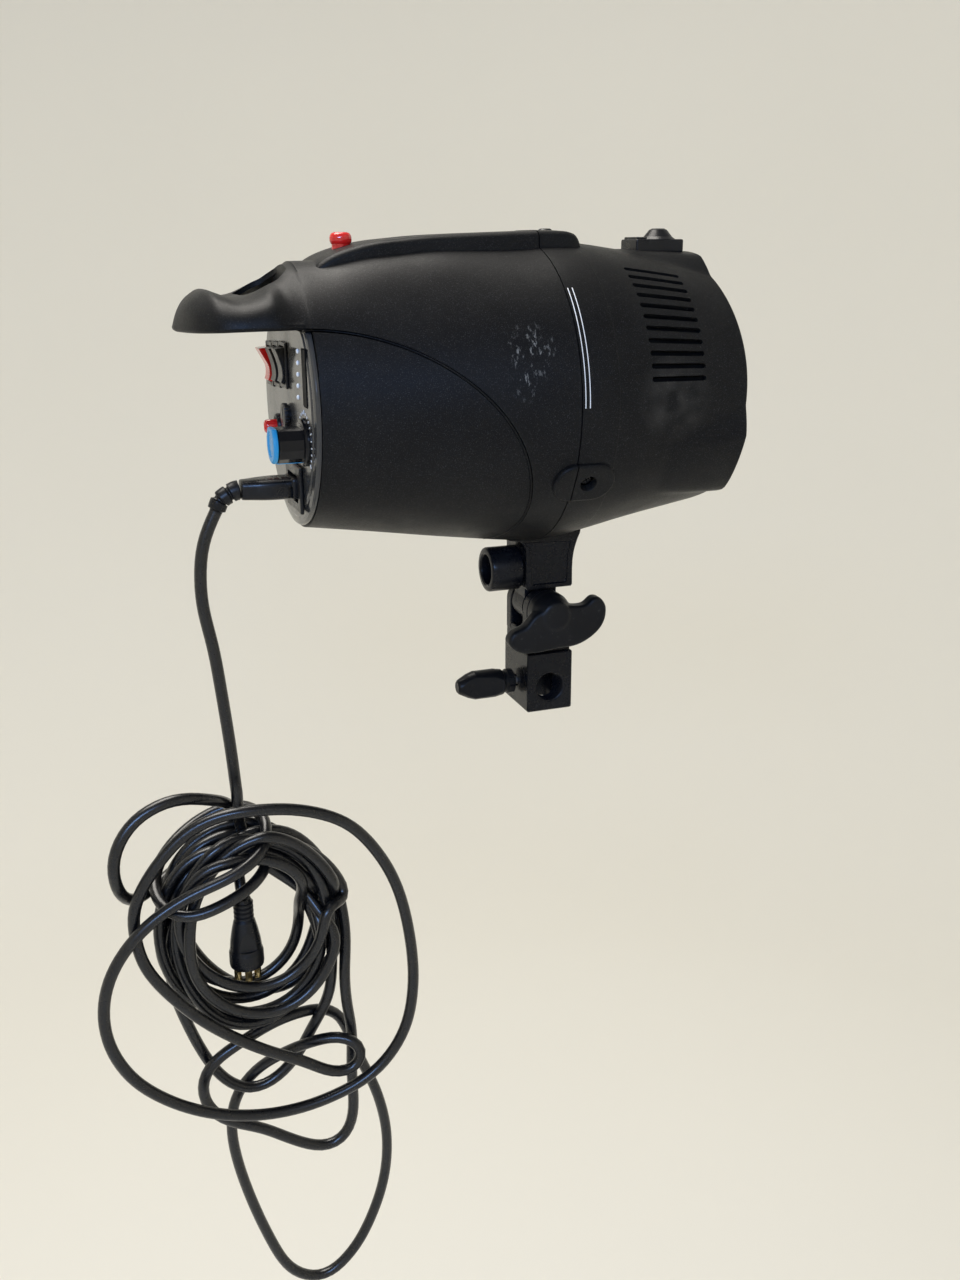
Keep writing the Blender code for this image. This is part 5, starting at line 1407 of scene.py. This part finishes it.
# near-black matte finish of the sheet behind the vents: painted shade in the slots
PAINTED_SHADE_SHEET = surface("painted_shade_sheet", (0.003, 0.003, 0.003), 0.9, grain=500, depth=0.0001,
    Specular_IOR_Level=0.02)
SMOKED = surface("smoked_window", (0.004, 0.004, 0.004), 0.5, grain=900, depth=0.00001,
    Specular_IOR_Level=0.04)
BLADE = surface("brass_pins", (0.78, 0.6, 0.28), 0.26, 1.0, grain=900, depth=0.00002)


# ---------------------------------------------------------------- putting it together

def put(obj, body, slot, *replaced, look=None):
    """Gives a piece its finish, the body it moves with and the CAD nodes it stands for."""
    obj.data.materials.clear()
    obj.data.materials.append(look or LOOKS[slot])
    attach(obj, body)
    if replaced:
        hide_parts(*replaced)
    return obj


def dress_cad_nodes():
    """Gives the CAD nodes that stay their procedural finishes."""
    slots = {part["node"]: part["material_slot"] for part in frame["record"]["subparts"]}
    for name, obj in NODES.items():
        obj.data.materials.clear()
        obj.data.materials.append(SMOKED if name == "indicator_window" else LOOKS[slots[name]])


def build_casing():
    put(soft_edges(make_rear_upper_shell(), 0.0004), "head", "casing_plastic", "rear_upper_shell")
    put(soft_edges(make_rear_lower_shell(), 0.0004), "head", "casing_plastic", "rear_lower_shell")
    put(soft_edges(make_front_shell(), 0.0003), "head", "casing_plastic", "front_shell")
    for side, word in ((-1, "left"), (1, "right")):
        put(make_stripes(side), "head", "casing_plastic", look=PRINT)
        put(make_screw("shell_screw_cross_" + word, side), "head", "control_black", "shell_screw_" + word)
    put(make_top_cap(), "head", "control_black", "top_screw_cap")


def build_panel():
    put(make_panel(), "head", "panel_plastic", "rear_panel")
    for word, at, proud, slot in (("power", POWER_KEY, 0.0058, "switch_red"),
                                  ("lamp", LAMP_KEY, 0.004, "control_black"),
                                  ("sound", SOUND_KEY, 0.004, "control_black")):
        put(make_rocker_frame(word + "_frame_moulding", at), "head", "control_black", word + "_rocker_frame")
        put(make_rocker_key(word + "_key_moulding", at, proud), word + "_key", slot, word + "_rocker_key")
    knob, pointer = make_power_knob()
    put(knob, "dial", "control_black", "power_knob", look=GLOSS_BLACK)
    put(smooth(pointer), "dial", "knob_blue")
    put(make_knob_cap(), "dial", "knob_blue", "knob_cap")
    put(make_dial_scale(), "head", "panel_plastic", look=PRINT)
    bezel, button = make_test_button()
    put(bezel, "head", "control_black", "test_button_bezel")
    put(button, "test_key", "switch_red", "test_button")
    put(make_fuse_cap(), "fuse_carrier", "control_black", "fuse_cap")
    put(make_inlet(), "head", "control_black", "mains_inlet")
    for k in range(5):
        dot = panel_dot(f"level_dot_{k}", -0.03 + 0.0008 * k, 0.0275 - 0.0052 * k)
        put(dot, "head", "panel_plastic", look=PRINT)


def build_top_and_front():
    put(make_slave_dome(), "head", "switch_red", "slave_dome")
    put(make_slider(), "accessory_lock", "control_black", "lock_slider")
    # the dark sheet behind the vents is painted shade, no part of the lamp
    put(make_vent_shade_sheet(), "head", "casing_plastic", look=PAINTED_SHADE_SHEET)
    spring = put(make_lock_spring(), "head", "steel", "lock_spring")
    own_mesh(spring)
    put(make_glass_cover(), "head", "glass", "glass_cover")
    put(make_flash_tube(), "head", "glass", "flash_tube")


def build_bracket():
    put(make_foot(), "head", "bracket_metal", "bracket_foot")
    put(make_umbrella_tube(), "head", "bracket_metal", "umbrella_tube")
    put(make_stand_block(), "bracket", "bracket_metal", "stand_block")
    put(make_tilt_handle(), "handle", "grip_plastic", "tilt_handle")
    put(make_lock_knob(), "lock_knob", "grip_plastic", "stand_lock_knob")
    put(make_bolt(), "bracket", "steel", "pivot_bolt")


def build_lead():
    put(make_connector(), "head", "control_black", "mains_connector")
    put(make_strain_relief(), "head", "control_black", "strain_relief")
    plug = put(make_plug(), "cord", "control_black", "mains_plug")
    pins = put(make_plug_pins(), "cord", "control_black", look=BLADE)
    lead, route = make_lead()
    lead.data.materials.append(LOOKS["cord_jacket"])
    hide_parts("cord_drop", "cord_bundle", "cord_loop_front", "cord_loop_low", "cord_loop_middle")
    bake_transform(lead)


# ---------------------------------------------------------------- stage, light and camera

FLOOR_Z = -1.1
LOOK_AT = Vector((-0.04, 0, 0.1))             # the lamps point at the object's middle
# place, size, watts and colour
CEILING = ((-0.5, 0.7, 2.3), (2.0, 1.4), 86, (1.0, 0.955, 0.885))
WINDOW_LIGHT = ((-1.1, -2.2, 1.05), (1.4, 0.3), 40, (0.28, 0.5, 1.0))
# the photograph's viewpoint, solved from the barrel, the vents, the panel and the bracket
CAMERA_AT = Vector((-0.24939, -0.58983, 0.23943))
CAMERA_RIGHT = Vector((0.93875569, -0.34455607, -0.00434423))
CAMERA_UP = Vector((0.10876378, 0.28432112, 0.95253973))


def make_stage():
    """A pale seamless bowl round the object: a floor that curves up into the wall."""
    profile = [(0, 0), (1.6, 0), *[(1.6 + 1.5 * sin(t), 1.5 - 1.5 * cos(t))
                                   for t in (pi / 2 * k / 16 for k in range(1, 17))], (3.1, 4.2)]
    bm = bmesh.new()
    rows = [[bm.verts.new((r * cos(angle), r * sin(angle), z + FLOOR_Z)) for angle in around(96)]
            if r else [bm.verts.new((0, 0, z + FLOOR_Z))] for r, z in profile]
    for near, far in zip(rows, rows[1:]):
        bridge(bm, near, far)
    stage = link("studio_bowl", bm)
    stage.data.shade_smooth()
    s = Shader("studio_paint")
    s.colour(s.mix(s.noise(0.9, 2.0), (0.655, 0.632, 0.56), (0.685, 0.662, 0.59)))
    s.done(Roughness=0.9, Emission_Color=(0.66, 0.635, 0.565, 1), Emission_Strength=0.115)
    stage.data.materials.append(s.material)


def area_light(name, place, size, power, colour):
    data = bpy.data.lights.new(name, "AREA")
    data.shape, data.size, data.size_y = "RECTANGLE", size[0], size[1]
    data.energy, data.color = power, colour
    light = in_scene(name, data)
    light.location = place
    light.rotation_euler = (LOOK_AT - Vector(place)).to_track_quat("-Z", "Y").to_euler()


def make_light():
    world = bpy.data.worlds.new("studio_air")
    bpy.context.scene.world = world
    world.use_nodes = True
    world.node_tree.nodes["Background"].inputs["Color"].default_value = (0.8, 0.79, 0.76, 1)
    world.node_tree.nodes["Background"].inputs["Strength"].default_value = 0.28
    area_light("ceiling_soft", *CEILING)
    area_light("window_soft", *WINDOW_LIGHT)


def make_camera():
    data = bpy.data.cameras.new("camera")
    data.sensor_fit, data.sensor_height, data.lens = "VERTICAL", 36.0, 34.55
    data.clip_start, data.clip_end = 0.02, 20
    camera = in_scene("camera", data)
    turn = Matrix((CAMERA_RIGHT, CAMERA_UP, CAMERA_RIGHT.cross(CAMERA_UP))).transposed().to_4x4()
    camera.matrix_world = Matrix.Translation(CAMERA_AT) @ turn
    bpy.context.scene.camera = camera


dress_cad_nodes()
make_camera()
build_lead()
build_casing()
build_panel()
build_top_and_front()
build_bracket()
make_stage()
make_light()
bpy.context.scene.view_settings.view_transform = "Standard"
